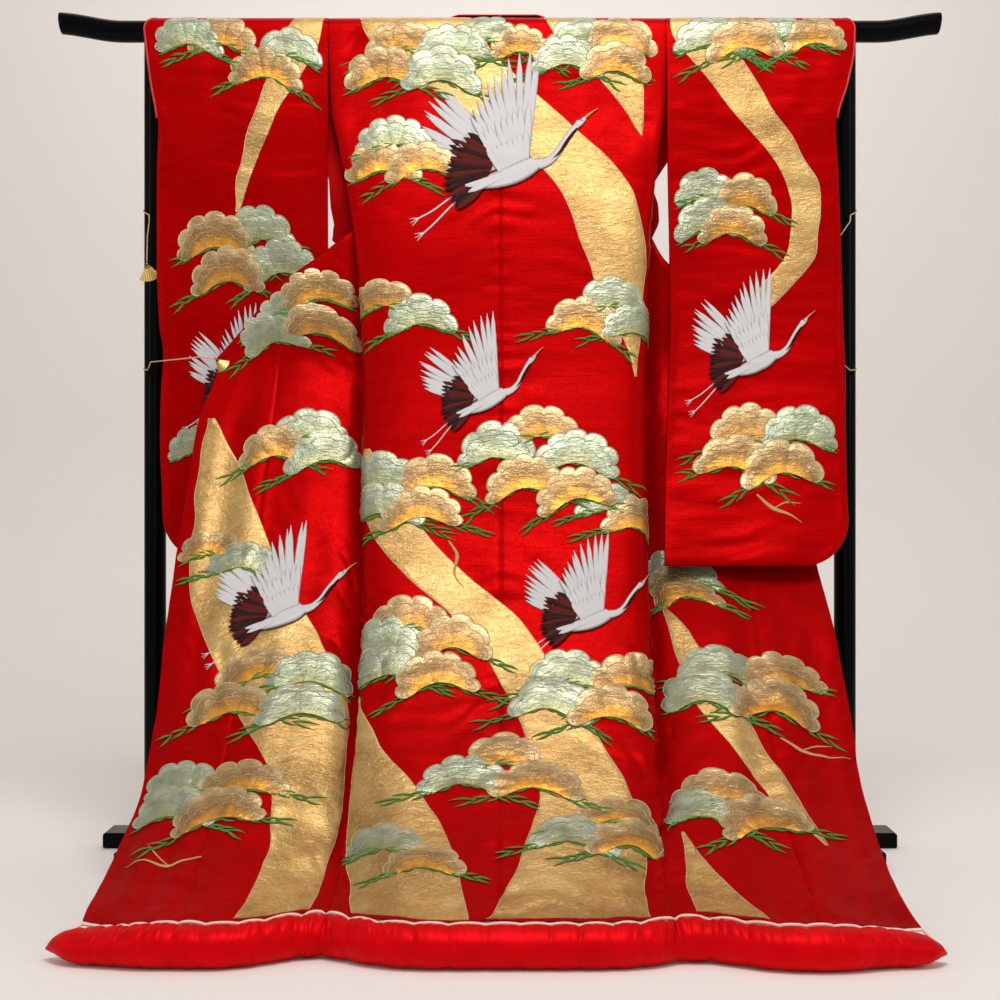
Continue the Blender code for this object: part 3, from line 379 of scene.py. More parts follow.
ARCS = np.zeros(BODY_GRID.shape[:2])
_d = np.linalg.norm(np.diff(BODY_GRID, axis=1), axis=2)
ARCS[:, 1:] = np.cumsum(_d, axis=1)
ARCS -= ARCS[:, 3 * ZONE_STEPS][:, None]          # metres across from the centre-back seam
ZONE_AXIS = np.linspace(-3, 3, BODY_GRID.shape[1])


def zone_of(u, s):
    """Zone across of a place u metres from the centre-back seam at s metres down."""
    u, s = np.broadcast_arrays(np.asarray(u, float), np.asarray(s, float))
    shape = u.shape
    u, s = u.ravel(), s.ravel()
    r = np.clip(s / LENGTH * (len(RUNS) - 1), 0, len(RUNS) - 1.0001)
    i = r.astype(int)
    out = np.empty_like(u)
    order = np.argsort(i, kind="stable")
    cuts = np.searchsorted(i[order], np.arange(len(RUNS)))
    cuts = np.append(cuts, len(u))
    for k in range(len(RUNS) - 1):
        sel = order[cuts[k]:cuts[k + 1]]
        if len(sel):
            a = r[sel] - k
            out[sel] = (1 - a) * np.interp(u[sel], ARCS[k], ZONE_AXIS) + a * np.interp(u[sel], ARCS[k + 1], ZONE_AXIS)
    return out.reshape(shape)


def body_wrinkle(zone, run):
    """Height of the cloth's folds over the smooth form."""
    u = zone * 0.28
    w = 0.0022 * noise(u / 0.085, run / 0.42, 3) * step(0.15, 0.5, run)
    w = w + 0.0016 * noise(u / 0.045 + run * 1.5, run / 0.22, 5) * step(0.9, 1.3, run)
    # drag lines across the panels, stronger beside the seams and in the lower half
    valley = bump(np.abs(zone), 0.94, 0.22) + 0.8 * bump(np.abs(zone), 1.10, 0.25)
    lower = 0.55 + 0.75 * step(0.75, 1.35, run)
    near = (0.45 + 0.8 * bump(np.abs(zone), 0.0, 0.20) + 0.55 * valley + 0.6 * bump(np.abs(zone), 2.0, 0.25)) * lower
    patch = 0.30 + 0.70 * step(-0.25, 0.45, noise(u / 0.14, run / 0.12, 8))
    slant = run + 0.30 * np.abs(np.abs(u) - 0.27)
    w = w + 0.0017 * near * patch * noise(u / 0.10, slant / 0.019 + 1.8 * noise(u / 0.09, run / 0.2, 11), 9)
    w = w + 0.0020 * near * patch * noise(u / 0.07 + 3, slant / 0.034 + 0.9 * noise(u / 0.12, run / 0.25, 12), 10)
    w = w - 0.0040 * lower * valley * patch * ridge(noise(u / 0.13, slant / 0.046 + 0.8 * noise(u / 0.1, run / 0.2, 14), 15), 2.6)
    w = w + 0.0006 * near * noise(u / 0.06, run / 0.013, 13)
    # little tucks that run out from the centre-back seam
    w = w + 0.0007 * bump(zone, 0, 0.08) * noise(np.abs(u) / 0.03, run / 0.012, 17)
    # the yoke: fine pleats below the shoulder line and the neck
    top = np.exp(-run / 0.16) * step(0.02, 0.06, run)
    w = w + 0.0042 * top * noise(u / 0.034, run / 0.16, 19)
    w = w + 0.0018 * top * noise(u / 0.05, run / 0.035 + u / 0.05, 23)
    w = w + 0.0040 * top * bump(zone, 0.55, 0.35) * noise(u / 0.06 - run / 0.05, run / 0.05 + u / 0.10, 25)
    w = w - 0.0036 * top * bump(np.abs(zone), 0.80, 0.25) * ridge(noise(u / 0.05 + run / 0.05, run / 0.09 - u / 0.08, 24), 2.4)
    # gathers that run up from the hem seam
    low = LENGTH - run
    g = noise(zone * 16 + 0.6 * noise(zone * 5, low / 0.05, 29), low / 0.12, 27)
    w = w + 0.0026 * np.exp(-low / 0.045) * g * step(0.0, 0.02, low)
    w = w + 0.0045 * np.exp(-((low - 0.13) / 0.10) ** 2) * noise(zone * 4.2, low / 0.2, 31)
    # long soft pull folds in the fronts, from the turned-over edge down
    side = np.abs(zone) - 1
    w = w + 0.0048 * step(0.1, 0.5, side) * noise(zone * 3.1 + run * 0.7, run / 0.5, 37) * step(0.55, 0.9, run)
    return w


_E = 0.0016


def body_surface(u, s, lift=0.0):
    """Cloth surface at (u, s) and the direction out of it."""
    def at(uu, ss):
        z = zone_of(uu, ss)
        n = body(ss, z, BODY_NORMAL)
        n = n / np.linalg.norm(n, axis=-1, keepdims=True)
        n = n * np.where(n[..., 1:2] + 0.6 * n[..., 2:3] < 0, -1, 1)
        return body(ss, z) + n * (body_wrinkle(z, ss) + CLOTH / 2)[..., None]
    p = at(u, s)
    du = at(u + _E, s) - at(u - _E, s)
    ds = at(u, s + _E) - at(u, s - _E)
    n = np.cross(ds, du)
    n /= np.maximum(np.linalg.norm(n, axis=-1, keepdims=True), 1e-12)
    n = n * np.where(n[..., 1:2] + 0.6 * n[..., 2:3] < 0, -1, 1)
    return p, n


SLEEVE_WIDE = 0.33


def sleeve_wrinkle(side, layer, down, across):
    k = 40 + (side > 0) * 7 + (layer < 0) * 3
    w = 0.0020 * noise(across * 3.0, down / 0.33, k) * step(0.05, 0.2, down)
    w = w + 0.0012 * noise(across * 2.0, down / 0.035 + 1.2 * noise(across * 2, down / 0.2, k + 6), k + 7)
    w = w + 0.0012 * noise(across * 2.4, down / 0.018 + 1.5 * noise(across * 3, down / 0.2, k + 1), k + 2) \
        * (0.4 + 0.6 * step(-0.1, 0.5, noise(across * 2, down / 0.15, k + 3)))
    w = w + 0.0005 * noise(across * 6, down / 0.009, k + 4)
    top = np.exp(-down / 0.10)
    w = w + 0.0018 * top * noise(across * 11, down / 0.14, k + 5) * step(0.0, 0.03, down)
    edge = np.clip(1 - across, 0, 1)
    return w * step(0.0, 0.06, edge) * step(0.0, 0.05, across) * step(0.0, 0.03, down)


def sleeve_surface(side, layer=1):
    def surface(x, d):
        def at(xx, dd):
            a = xx / SLEEVE_WIDE
            down = np.maximum(dd, 0)
            p = sleeve_point(side, layer, down, np.clip(a, 0, 1))
            p = p + np.stack([0 * p[..., 0], layer * (sleeve_wrinkle(side, layer, down, a) + CLOTH / 2), 0 * p[..., 0]], -1)
            ang = np.maximum(-dd, 0) / WRAP          # above the bar's axis it goes round the bar
            over = np.stack([p[..., 0], (WRAP + CLOTH / 2) * np.cos(ang), BAR_HEIGHT + (WRAP + CLOTH / 2) * np.sin(ang)], -1)
            return np.where((dd < 0)[..., None], over, p)
        p = at(x, d)
        du = at(x + _E, d) - at(x - _E, d)
        ds = at(x, d + _E) - at(x, d - _E)
        n = np.cross(ds, du)
        n /= np.maximum(np.linalg.norm(n, axis=-1, keepdims=True), 1e-12)
        n = n * np.where((n[..., 1:2] + 0.6 * n[..., 2:3] * (d < 0)[..., None]) * layer < 0, -1, 1)
        return p, n
    return surface


# ---------------------------------------------------------------- building meshes
def hem_sway(p):
    """The hem falls back at the side seams, comes a little forward at the right and sinks at its two ends."""
    x, f, h = p[..., 0], p[..., 1], p[..., 2]
    near = step(0.40, 0.845, f)
    last = step(0.735, 0.85, f)
    back = 0.054 * bump(x, -0.262, 0.080) + 0.034 * bump(x, 0.285, 0.070)
    f2 = f - near * back + near * (0.028 * step(0.22, 0.60, x) + 0.016 * step(0.50, 0.64, x) + 0.044 * step(-0.42, -0.62, x))
    x2 = x + last * (0.011 * step(-0.42, -0.60, x) + 0.010 * step(0.42, 0.60, x))
    sink = step(0.74, 0.84, f) * step(0.17, 0.06, h) * (0.28 * step(-0.48, -0.63, x) + 0.30 * step(0.46, 0.62, x))
    return np.stack([x2, f2, h * (1 - sink)], -1)


def to_frame(p):
    p = hem_sway(np.asarray(p, float))
    return np.stack([p[..., 0], SHIFT - p[..., 1], p[..., 2]], -1)


def thin(me, ratio):
    """Fewer triangles where a surface is nearly flat."""
    ob = bpy.data.objects.new("thin", me)
    bpy.context.scene.collection.objects.link(ob)
    mod = ob.modifiers.new("thin", "DECIMATE")
    mod.ratio = ratio
    new = bpy.data.meshes.new_from_object(ob.evaluated_get(bpy.context.evaluated_depsgraph_get()))
    name = me.name
    bpy.data.objects.remove(ob)
    bpy.data.meshes.remove(me)
    new.name = name
    return new


class Builder:
    """Collects pieces made of grids, then makes one mesh of them."""

    def relief(self, top, bottom, uv=None, mat=0):
        """Raised stitching: its face and the edge that goes down into the cloth."""
        m, k = top.shape[:2]
        idx = np.arange(m * k).reshape(m, k)
        front = np.stack([idx[:-1, :-1].ravel(), idx[1:, :-1].ravel(), idx[1:, 1:].ravel(), idx[:-1, 1:].ravel()], 1)
        rim = np.concatenate([idx[0, :], idx[1:, -1], idx[-1, -2::-1], idx[-2:0:-1, 0]])
        low = m * k + np.arange(len(rim))
        side = np.stack([rim, np.roll(rim, -1), np.roll(low, -1), low], 1)
        up, down = to_frame(top.reshape(-1, 3)), to_frame(bottom.reshape(-1, 3))
        t = up[front[:, 0]]
        cr = np.cross(up[front[:, 1]] - t, up[front[:, 2]] - t)
        faces = [front + self.n, side + self.n]
        if np.sum(cr * (t - down[front[:, 0]])) < 0:
            faces = [f[:, ::-1] for f in faces]
        if uv is None:
            jj, ii = np.meshgrid(np.linspace(0, 1, k), np.linspace(0, 1, m))
            uv = np.stack([jj, ii], -1)
        uv = uv.reshape(-1, 2)
        self.v.append(np.concatenate([up, down[rim]]))
        self.f += faces
        self.m += [np.full(len(f), mat) for f in faces]
        self.uv.append(np.concatenate([uv, uv[rim]]))
        self.n += m * k + len(rim)

    def __init__(self):
        self.v, self.f, self.m, self.uv = [], [], [], []
        self.n = 0

    def slab(self, top, bottom, uv=None, mat=0, mat_back=None, mat_rim=None):
        m, k = top.shape[:2]
        idx = np.arange(m * k).reshape(m, k) + self.n
        low = idx + m * k
        a, b, c, d = idx[:-1, :-1].ravel(), idx[1:, :-1].ravel(), idx[1:, 1:].ravel(), idx[:-1, 1:].ravel()
        front = np.stack([a, b, c, d], 1)
        a, b, c, d = low[:-1, :-1].ravel(), low[:-1, 1:].ravel(), low[1:, 1:].ravel(), low[1:, :-1].ravel()
        back = np.stack([a, b, c, d], 1)
        rim = np.concatenate([idx[0, :], idx[1:, -1], idx[-1, -2::-1], idx[-2:0:-1, 0]])
        nxt = np.roll(rim, -1)
        side = np.stack([rim, nxt, nxt + m * k, rim + m * k], 1)
        pts = to_frame(np.concatenate([top.reshape(-1, 3), bottom.reshape(-1, 3)]))
        # outward facing: compare the front's direction with the way from back to front
        t = pts[front[:, 0] - self.n]
        cr = np.cross(pts[front[:, 1] - self.n] - t, pts[front[:, 2] - self.n] - t)
        way = pts[front[:, 0] - self.n] - pts[front[:, 0] - self.n + m * k]
        faces = [front, back, side]
        if np.sum(cr * way) < 0:
            faces = [f[:, ::-1] for f in faces]
        mats = [np.full(len(front), mat), np.full(len(back), mat if mat_back is None else mat_back),
                np.full(len(side), mat if mat_rim is None else mat_rim)]
        if uv is None:
            jj, ii = np.meshgrid(np.linspace(0, 1, k), np.linspace(0, 1, m))
            uv = np.stack([jj, ii], -1)
        uvp = np.concatenate([uv.reshape(-1, 2), uv.reshape(-1, 2)])
        self.v.append(pts)
        self.f += faces
        self.m += mats
        self.uv.append(uvp)
        self.n += 2 * m * k

    def make(self, name, materials, smooth=True, slot=None):
        v = np.concatenate(self.v)
        f = np.concatenate(self.f)
        mats = np.concatenate(self.m)
        uv = np.concatenate(self.uv)
        me = bpy.data.meshes.new(name)
        me.vertices.add(len(v))
        me.vertices.foreach_set("co", v.ravel())
        me.loops.add(len(f) * 4)
        me.loops.foreach_set("vertex_index", f.ravel().astype(np.int32))
        me.polygons.add(len(f))
        me.polygons.foreach_set("loop_start", np.arange(0, len(f) * 4, 4, dtype=np.int32))
        me.polygons.foreach_set("material_index", mats.astype(np.int32))
        me.polygons.foreach_set("use_smooth", np.full(len(f), smooth))
        layer = me.uv_layers.new(name="cloth")
        layer.data.foreach_set("uv", uv[f.ravel()].ravel())
        for m in materials:
            me.materials.append(m)
        me.update(calc_edges=True)
        me.validate()
        if len(f) > 3000:
            me = thin(me, 0.68 if name.endswith("_cloth") else 0.72)
        if smooth:
            me.set_sharp_from_angle(angle=math.radians(58))
        ob = bpy.data.objects.new(name, me)
        bpy.context.scene.collection.objects.link(ob)
        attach(ob, "root")
        return ob


def grid_normals(g):
    n = np.cross(np.gradient(g, axis=0), np.gradient(g, axis=1))
    return n / np.maximum(np.linalg.norm(n, axis=2, keepdims=True), 1e-12)


def edge_fade(x, lo, hi, width):
    """0 on the two edges of a panel, 1 inside."""
    return step(0, width, x - lo) * step(0, width, hi - x)
# ---------------------------------------------------------------- materials
class Mat:
    """Small helper round a node tree."""

    def __init__(self, name, rough=0.5, metal=0.0, **sockets):
        self.m = bpy.data.materials.new(name)
        self.m.use_nodes = True
        self.t = self.m.node_tree
        self.b = self.t.nodes["Principled BSDF"]
        self.b.inputs["Roughness"].default_value = rough
        self.b.inputs["Metallic"].default_value = metal
        for k, v in sockets.items():
            self.b.inputs[k.replace("_", " ")].default_value = v

    def node(self, kind, **props):
        n = self.t.nodes.new(kind)
        for k, v in props.items():
            setattr(n, k, v)
        return n

    def link(self, a, b):
        self.t.links.new(a, b)

    def uv(self, sx=1.0, sy=1.0):
        a = self.node("ShaderNodeUVMap", uv_map="cloth")
        m = self.node("ShaderNodeMapping")
        m.inputs["Scale"].default_value = (sx, sy, 1)
        self.link(a.outputs["UV"], m.inputs["Vector"])
        return m.outputs["Vector"]

    def place(self, sx=1.0, sy=1.0, sz=1.0):
        a = self.node("ShaderNodeTexCoord")
        m = self.node("ShaderNodeMapping")
        m.inputs["Scale"].default_value = (sx, sy, sz)
        self.link(a.outputs["Object"], m.inputs["Vector"])
        return m.outputs["Vector"]

    def noise(self, vec, scale=1.0, detail=3.0, rough=0.5, distort=0.0):
        n = self.node("ShaderNodeTexNoise")
        n.inputs["Scale"].default_value = scale
        n.inputs["Detail"].default_value = detail
        n.inputs["Roughness"].default_value = rough
        n.inputs["Distortion"].default_value = distort
        self.link(vec, n.inputs["Vector"])
        return n.outputs["Fac"]

    def wave(self, vec, scale, distort=0.0, direction="X", detail=1.0):
        n = self.node("ShaderNodeTexWave", bands_direction=direction)
        n.inputs["Scale"].default_value = scale
        n.inputs["Distortion"].default_value = distort
        n.inputs["Detail"].default_value = detail
        self.link(vec, n.inputs["Vector"])
        return n.outputs["Fac"]

    def ramp(self, fac, stops):
        n = self.node("ShaderNodeValToRGB")
        e = n.color_ramp.elements
        while len(e) < len(stops):
            e.new(0.5)
        for el, (p, c) in zip(e, stops):
            el.position = p
            el.color = (*c, 1) if not isinstance(c, float) else (c, c, c, 1)
        self.link(fac, n.inputs["Fac"])
        return n.outputs["Color"]

    def mix(self, fac, a, b, kind="MIX"):
        n = self.node("ShaderNodeMix", data_type="RGBA", blend_type=kind)
        if isinstance(fac, float):
            n.inputs[0].default_value = fac
        else:
            self.link(fac, n.inputs[0])
        for sock, val in ((6, a), (7, b)):
            if isinstance(val, tuple):
                n.inputs[sock].default_value = (*val, 1)
            else:
                self.link(val, n.inputs[sock])
        return n.outputs[2]

    def math(self, op, a, b):
        n = self.node("ShaderNodeMath", operation=op)
        for k, val in enumerate((a, b)):
            if isinstance(val, (int, float)):
                n.inputs[k].default_value = val
            else:
                self.link(val, n.inputs[k])
        return n.outputs[0]

    def split(self, vec):
        n = self.node("ShaderNodeSeparateXYZ")
        self.link(vec, n.inputs[0])
        return n.outputs

    def bump(self, height, strength=0.3, distance=0.0005, after=None):
        n = self.node("ShaderNodeBump")
        n.inputs["Strength"].default_value = strength
        n.inputs["Distance"].default_value = distance
        self.link(height, n.inputs["Height"])
        if after is not None:
            self.link(after, n.inputs["Normal"])
        return n.outputs["Normal"]

    def out(self, colour=None, rough=None, normal=None):
        if colour is not None:
            if isinstance(colour, tuple):
                self.b.inputs["Base Color"].default_value = (*colour, 1)
            else:
                self.link(colour, self.b.inputs["Base Color"])
        if rough is not None:
            self.link(rough, self.b.inputs["Roughness"])
        if normal is not None:
            self.link(normal, self.b.inputs["Normal"])
        return self.m


def silk(name, light, dark, rough=0.42, weave=0.35):
    """Figured silk satin: horizontal weft, a faint figure, slubs; its lustre takes the dye's colour."""
    m = Mat(name, rough, 0.30, Sheen_Weight=0.0, Specular_IOR_Level=0.10, Specular_Tint=(1.0, 0.10, 0.08, 1))
    uv = m.uv()
    weft = m.noise(m.uv(90, 1500), 1.0, 2.0)
    warp = m.noise(m.uv(1400, 60), 1.0, 2.0)
    slub = m.noise(m.uv(16, 210), 1.0, 4.0, 0.62)
    figure = m.noise(uv, 190.0, 2.0, 0.5, 1.2)
    cloud = m.noise(uv, 6.0, 3.0)
    col = m.mix(m.ramp(cloud, [(0.3, 0.0), (0.75, 1.0)]), dark, light)
    col = m.mix(m.ramp(slub, [(0.34, 0.0), (0.70, 0.32)]), col, tuple(min(1.0, c * 1.35 + 0.0006) for c in light))
    col = m.mix(m.ramp(figure, [(0.45, 0.0), (0.62, 0.30)]), col, tuple(c * 0.72 for c in dark))
    r = m.math("ADD", m.math("MULTIPLY", figure, 0.26), rough - 0.14)
    h = m.math("ADD", m.math("MULTIPLY", weft, 0.5), m.math("MULTIPLY", warp, 0.3))
    h = m.math("ADD", h, m.math("MULTIPLY", figure, 0.5))
    n = m.bump(h, weave, 0.00035)
    n = m.bump(slub, 0.28, 0.0010, n)
    return m.out(col, r, n)


SILK = silk("scarlet_silk_looks", (0.44, 0.0005, 0.0011), (0.33, 0.0003, 0.0008), 0.39)
LINING = silk("lining_looks", (0.34, 0.0016, 0.003), (0.27, 0.001, 0.002), 0.50, 0.2)


def satin(name, light, dark, rough, scale=1.0):
    m = Mat(name, rough, 0.15, Sheen_Weight=0.0, Specular_IOR_Level=0.22)
    p = m.place()
    thread = m.noise(m.place(1400, 1400, 300), 1.0, 2.0)
    cloud = m.noise(p, 22.0 * scale, 3.0)
    col = m.mix(m.ramp(cloud, [(0.3, 0.0), (0.7, 1.0)]), dark, light)
    r = m.math("ADD", m.math("MULTIPLY", thread, 0.14), rough - 0.07)
    n = m.bump(thread, 0.22, 0.0004)
    n = m.bump(m.noise(p, 130.0, 3.0), 0.18, 0.0012, n)
    return m.out(col, r, n)


ROLL_SATIN = satin("crimson_satin_looks", (0.76, 0.0010, 0.0046), (0.60, 0.0007, 0.0032), 0.46)
ROLL_SATIN.node_tree.nodes["Principled BSDF"].inputs["Specular Tint"].default_value = (1, 0.2, 0.2, 1)
ROLL_SATIN.node_tree.nodes["Principled BSDF"].inputs["Metallic"].default_value = 0.30
ROSE = satin("rose_lining_looks", (0.62, 0.045, 0.045), (0.50, 0.025, 0.025), 0.5, 4.0)
PIPING = satin("white_piping_looks", (0.90, 0.74, 0.64), (0.84, 0.62, 0.52), 0.5, 6.0)
PIPING.node_tree.nodes["Principled BSDF"].inputs["Metallic"].default_value = 0.0


def lobe_material(name, stops, dark, fleck, line, metal, crinkle):
    """Foil and couched gold on a scalloped lobe: uv x runs round it, y out from its foot."""
    m = Mat(name, 0.36, metal, Specular_IOR_Level=0.4)
    x, y, _ = m.split(m.uv())
    p = m.place()
    wob = m.noise(p, 60.0, 4.0, 0.6)
    rr = m.math("ADD", y, m.math("MULTIPLY", m.math("SUBTRACT", wob, 0.5), 0.50))
    col = m.ramp(rr, stops)
    patch = m.noise(p, 34.0, 4.0, 0.6)
    col = m.mix(m.ramp(patch, [(0.40, 0.0), (0.68, 0.75)]), col, dark)
    speck = m.noise(p, 750.0, 2.0)
    col = m.mix(m.ramp(speck, [(0.50, 0.0), (0.66, 0.6)]), col, fleck)
    comb = m.node("ShaderNodeCombineXYZ")
    m.link(x, comb.inputs[0])
    rays = m.noise(comb.outputs[0], 22.0, 3.0, 0.6)
    col = m.mix(m.ramp(rays, [(0.50, 0.0), (0.72, 0.40)]), col, line)
    fold = m.noise(m.place(1, 1, 3), crinkle, 3.0, 0.55, 0.6)
    n = m.bump(rays, 0.35, 0.0009)
    n = m.bump(m.noise(p, 420.0, 3.0), 0.40, 0.0006, n)
    n = m.bump(fold, 0.55, 0.0026, n)
    r = m.math("ADD", m.math("MULTIPLY", patch, 0.30), 0.20)
    return m.out(col, r, n)


FOIL_SILVER = lobe_material("foil_silver", [(0.0, (0.42, 0.33, 0.12)), (0.22, (0.36, 0.36, 0.20)), (0.60, (0.43, 0.46, 0.33)), (0.85, (0.50, 0.52, 0.38)), (1.0, (0.66, 0.64, 0.46))],
                            (0.17, 0.16, 0.085), (0.35, 0.54, 0.39), (0.70, 0.64, 0.42), 0.60, 70.0)
FOIL_GOLD = lobe_material("foil_gold", [(0.0, (0.92, 0.40, 0.010)), (0.24, (0.72, 0.29, 0.012)), (0.44, (0.28, 0.135, 0.040)), (0.72, (0.40, 0.26, 0.12)), (0.88, (0.58, 0.42, 0.22)), (1.0, (0.80, 0.62, 0.36))],
                          (0.17, 0.080, 0.025), (0.78, 0.55, 0.26), (0.74, 0.46, 0.13), 0.58, 60.0)


def band_material():
    """Gold leaf and brocade: crinkled, flecked with mint, browner in its hollows."""
    m = Mat("gold_leaf_band", 0.34, 0.65, Specular_IOR_Level=0.4)
    p = m.place()
    cloud = m.noise(p, 9.0, 5.0, 0.62, 0.4)
    col = m.ramp(cloud, [(0.28, (0.27, 0.130, 0.028)), (0.45, (0.47, 0.250, 0.066)), (0.60, (0.60, 0.36, 0.115)), (0.78, (0.74, 0.54, 0.24))])
    fleck = m.noise(p, 150.0, 4.0, 0.65)
    col = m.mix(m.ramp(fleck, [(0.54, 0.0), (0.68, 0.55)]), col, (0.46, 0.56, 0.32))
    fine = m.noise(p, 900.0, 2.0)
    col = m.mix(m.ramp(fine, [(0.48, 0.0), (0.70, 0.55)]), col, (0.92, 0.70, 0.34))
    n = m.bump(m.noise(m.place(1, 1, 2.2), 60.0, 4.0, 0.6, 0.8), 0.52, 0.0030)
    n = m.bump(m.noise(m.place(1, 1, 5), 210.0, 3.0), 0.35, 0.0011, n)
    n = m.bump(fine, 0.35, 0.0005, n)
    r = m.math("ADD", m.math("MULTIPLY", fleck, 0.34), 0.20)
    return m.out(col, r, n)


BAND = band_material()


def thread_material(name, light, dark, across=26.0, rough=0.45, metal=0.0):
    """Satin stitch: uv x across a stroke, y along it."""
    m = Mat(name, rough, metal, Sheen_Weight=0.1, Specular_IOR_Level=0.5)
    x, y, _ = m.split(m.uv())
    mid = m.math("ABSOLUTE", m.math("SUBTRACT", x, 0.5), 0.0)
    slant = m.math("SUBTRACT", m.math("MULTIPLY", y, 1.0), m.math("MULTIPLY", mid, 0.25))
    n1 = m.node("ShaderNodeTexWave", bands_direction="Y")
    comb = m.node("ShaderNodeCombineXYZ")
    m.link(x, comb.inputs[0])
    m.link(slant, comb.inputs[1])
    m.link(comb.outputs[0], n1.inputs["Vector"])
    n1.inputs["Scale"].default_value = across
    n1.inputs["Distortion"].default_value = 0.4
    # painted shade and highlight: the wave that raises the threads also colours them, light on each crest and dark in
    # the groove between threads
    col = m.mix(m.math("MULTIPLY", n1.outputs["Fac"], 0.8), dark, light)
    # painted shade: the colour is darkened along both edges of every stroke, most on its first edge, as a shadow line
    # between stitches and feathers
    rim = m.ramp(x, [(0.02, 0.26), (0.16, 1.0), (0.84, 1.0), (0.99, 0.45)])
    col = m.mix(1.0, col, rim, "MULTIPLY")
    n = m.bump(n1.outputs["Fac"], 0.55, 0.0006)
    return m.out(col, None, n)


WHITE = thread_material("white_stitch", (0.92, 0.90, 0.88), (0.50, 0.49, 0.52), 2.2, 0.42)
DARK = thread_material("dark_stitch", (0.060, 0.010, 0.008), (0.008, 0.004, 0.004), 2.2, 0.38)
MAROON = thread_material("maroon_stitch", (0.17, 0.018, 0.012), (0.06, 0.005, 0.004), 2.2, 0.4)
for _m in (DARK, MAROON):
    _m.node_tree.nodes["Principled BSDF"].inputs["Sheen Weight"].default_value = 0.0
    _m.node_tree.nodes["Principled BSDF"].inputs["Specular IOR Level"].default_value = 0.12
GREEN = thread_material("green_stitch", (0.105, 0.36, 0.016), (0.028, 0.135, 0.006), 2.2, 0.45)
GOLD_CORD = thread_material("couched_gold", (0.95, 0.80, 0.50), (0.66, 0.48, 0.20), 8.0, 0.34, 0.5)
SILVER_CORD = thread_material("couched_silver", (0.70, 0.72, 0.54), (0.40, 0.42, 0.26), 8.0, 0.36, 0.4)
RED_THREAD = thread_material("red_stitch", (0.55, 0.02, 0.01), (0.3, 0.01, 0.005), 9.0, 0.45)
PEACH = thread_material("peach_stitch", (0.80, 0.42, 0.17), (0.60, 0.27, 0.08), 3.0, 0.45, 0.1)


def plain(name, colour, rough, metal=0.0, grain=300.0, **k):
    m = Mat(name, rough, metal, **k)
    n = m.noise(m.place(), grain, 3.0)
    c = m.mix(m.math("MULTIPLY", n, 0.6), tuple(x * 0.8 for x in colour), tuple(min(1.0, x * 1.15) for x in colour))
    r = m.math("ADD", m.math("MULTIPLY", n, 0.10), rough - 0.05)
    return m.out(c, r, m.bump(n, 0.05, 0.0004))


LACQUER = plain("black_lacquer_looks", (0.0016, 0.0019, 0.0019), 0.24, 0.0, 60.0, Specular_IOR_Level=0.055, Coat_Weight=0.012, Coat_Roughness=0.06)
BRASS = plain("brass_looks", (0.66, 0.44, 0.14), 0.26, 1.0, 500.0)
CORD_MAT = satin("tie_cord_looks", (0.72, 0.50, 0.36), (0.52, 0.32, 0.2), 0.6, 8.0)
CORD_MAT.node_tree.nodes["Principled BSDF"].inputs["Metallic"].default_value = 0.0
# ---------------------------------------------------------------- cloth pieces
def seam_columns(a, b, gap_a, gap_b, wide, cell):
    """Zone places from a to b with extra columns beside the two edges."""
    n = max(4, int(round(wide * abs(b - a) / cell)))
    fine = np.array([0, 0.0012, 0.0028, 0.0055]) / wide
    inner = np.linspace(a + gap_a + 0.010 / wide, b - gap_b - 0.010 / wide, n)
    return np.concatenate([a + gap_a + fine, inner, (b - gap_b - fine)[::-1]])


def seam_roll(zones, a, b, wide):
    d = np.minimum(zones - a, b - zones) * wide
    return -0.0011 * (1 - step(0.0, 0.0050, d))


ZG = 0.00004 / 0.28
CELL = 0.0062


def out_of(n):
    return n * np.where(n[..., 1:2] + 0.6 * n[..., 2:3] < 0, -1, 1)


for side, word in ((-1, "left"), (1, "right")):
    seam_top = run_at(FOLD_TABLE[side][0][1])
    zones = seam_columns(0.0, 1.0, ZG, ZG, 0.30, CELL)
    runs = np.concatenate([[0.0004, 0.004, 0.008, 0.012, 0.016, 0.020, 0.024, 0.028, 0.032, 0.036, 0.042], np.linspace(0.048, LENGTH, int(LENGTH / CELL))])
    rr, zz = np.meshgrid(runs, zones, indexing="ij")
    clear = 0.045 * step(seam_top + 0.02, seam_top - 0.001, rr) * step(seam_top - 0.20, seam_top - 0.10, rr)
    zq = zz - clear * step(0.80, 1.0, zz)
    p = body(rr, side * zq)
    n = out_of(body(rr, side * zq, BODY_NORMAL))
    n /= np.linalg.norm(n, axis=2, keepdims=True)
    w = body_wrinkle(side * zq, rr) * step(0, 0.05, rr) + seam_roll(zz, 0, 1, 0.30)
    # deep in the fold at the side seam the cloth lies plain
    w = w * (1 - 0.92 * step(0.85, 0.95, zz))
    p = p + n * w[..., None]
    b = Builder()
    uv = np.stack([side * zz * 0.30, rr], -1)
    b.slab(p + n * CLOTH / 2, p - n * CLOTH / 2, uv, 0, 1, 0)
    if side < 0:                       # the seam allowance turned behind the centre back
        r2, z2 = np.meshgrid(runs, np.linspace(-0.022, 0.022, 5), indexing="ij")
        q, nq = body(r2, z2), out_of(body(r2, z2, BODY_NORMAL))
        nq /= np.linalg.norm(nq, axis=2, keepdims=True)
        q = q + nq * (body_wrinkle(z2, r2) * step(0, 0.05, r2) - 0.0026)[..., None]
        b.slab(q, q - nq * 0.0009, np.stack([z2 * 0.3, r2], -1), 0, 1, 0)
    ob = b.make(f"back_{word}_cloth", [SILK, LINING], slot="scarlet_silk")
    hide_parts(f"back_{word}")

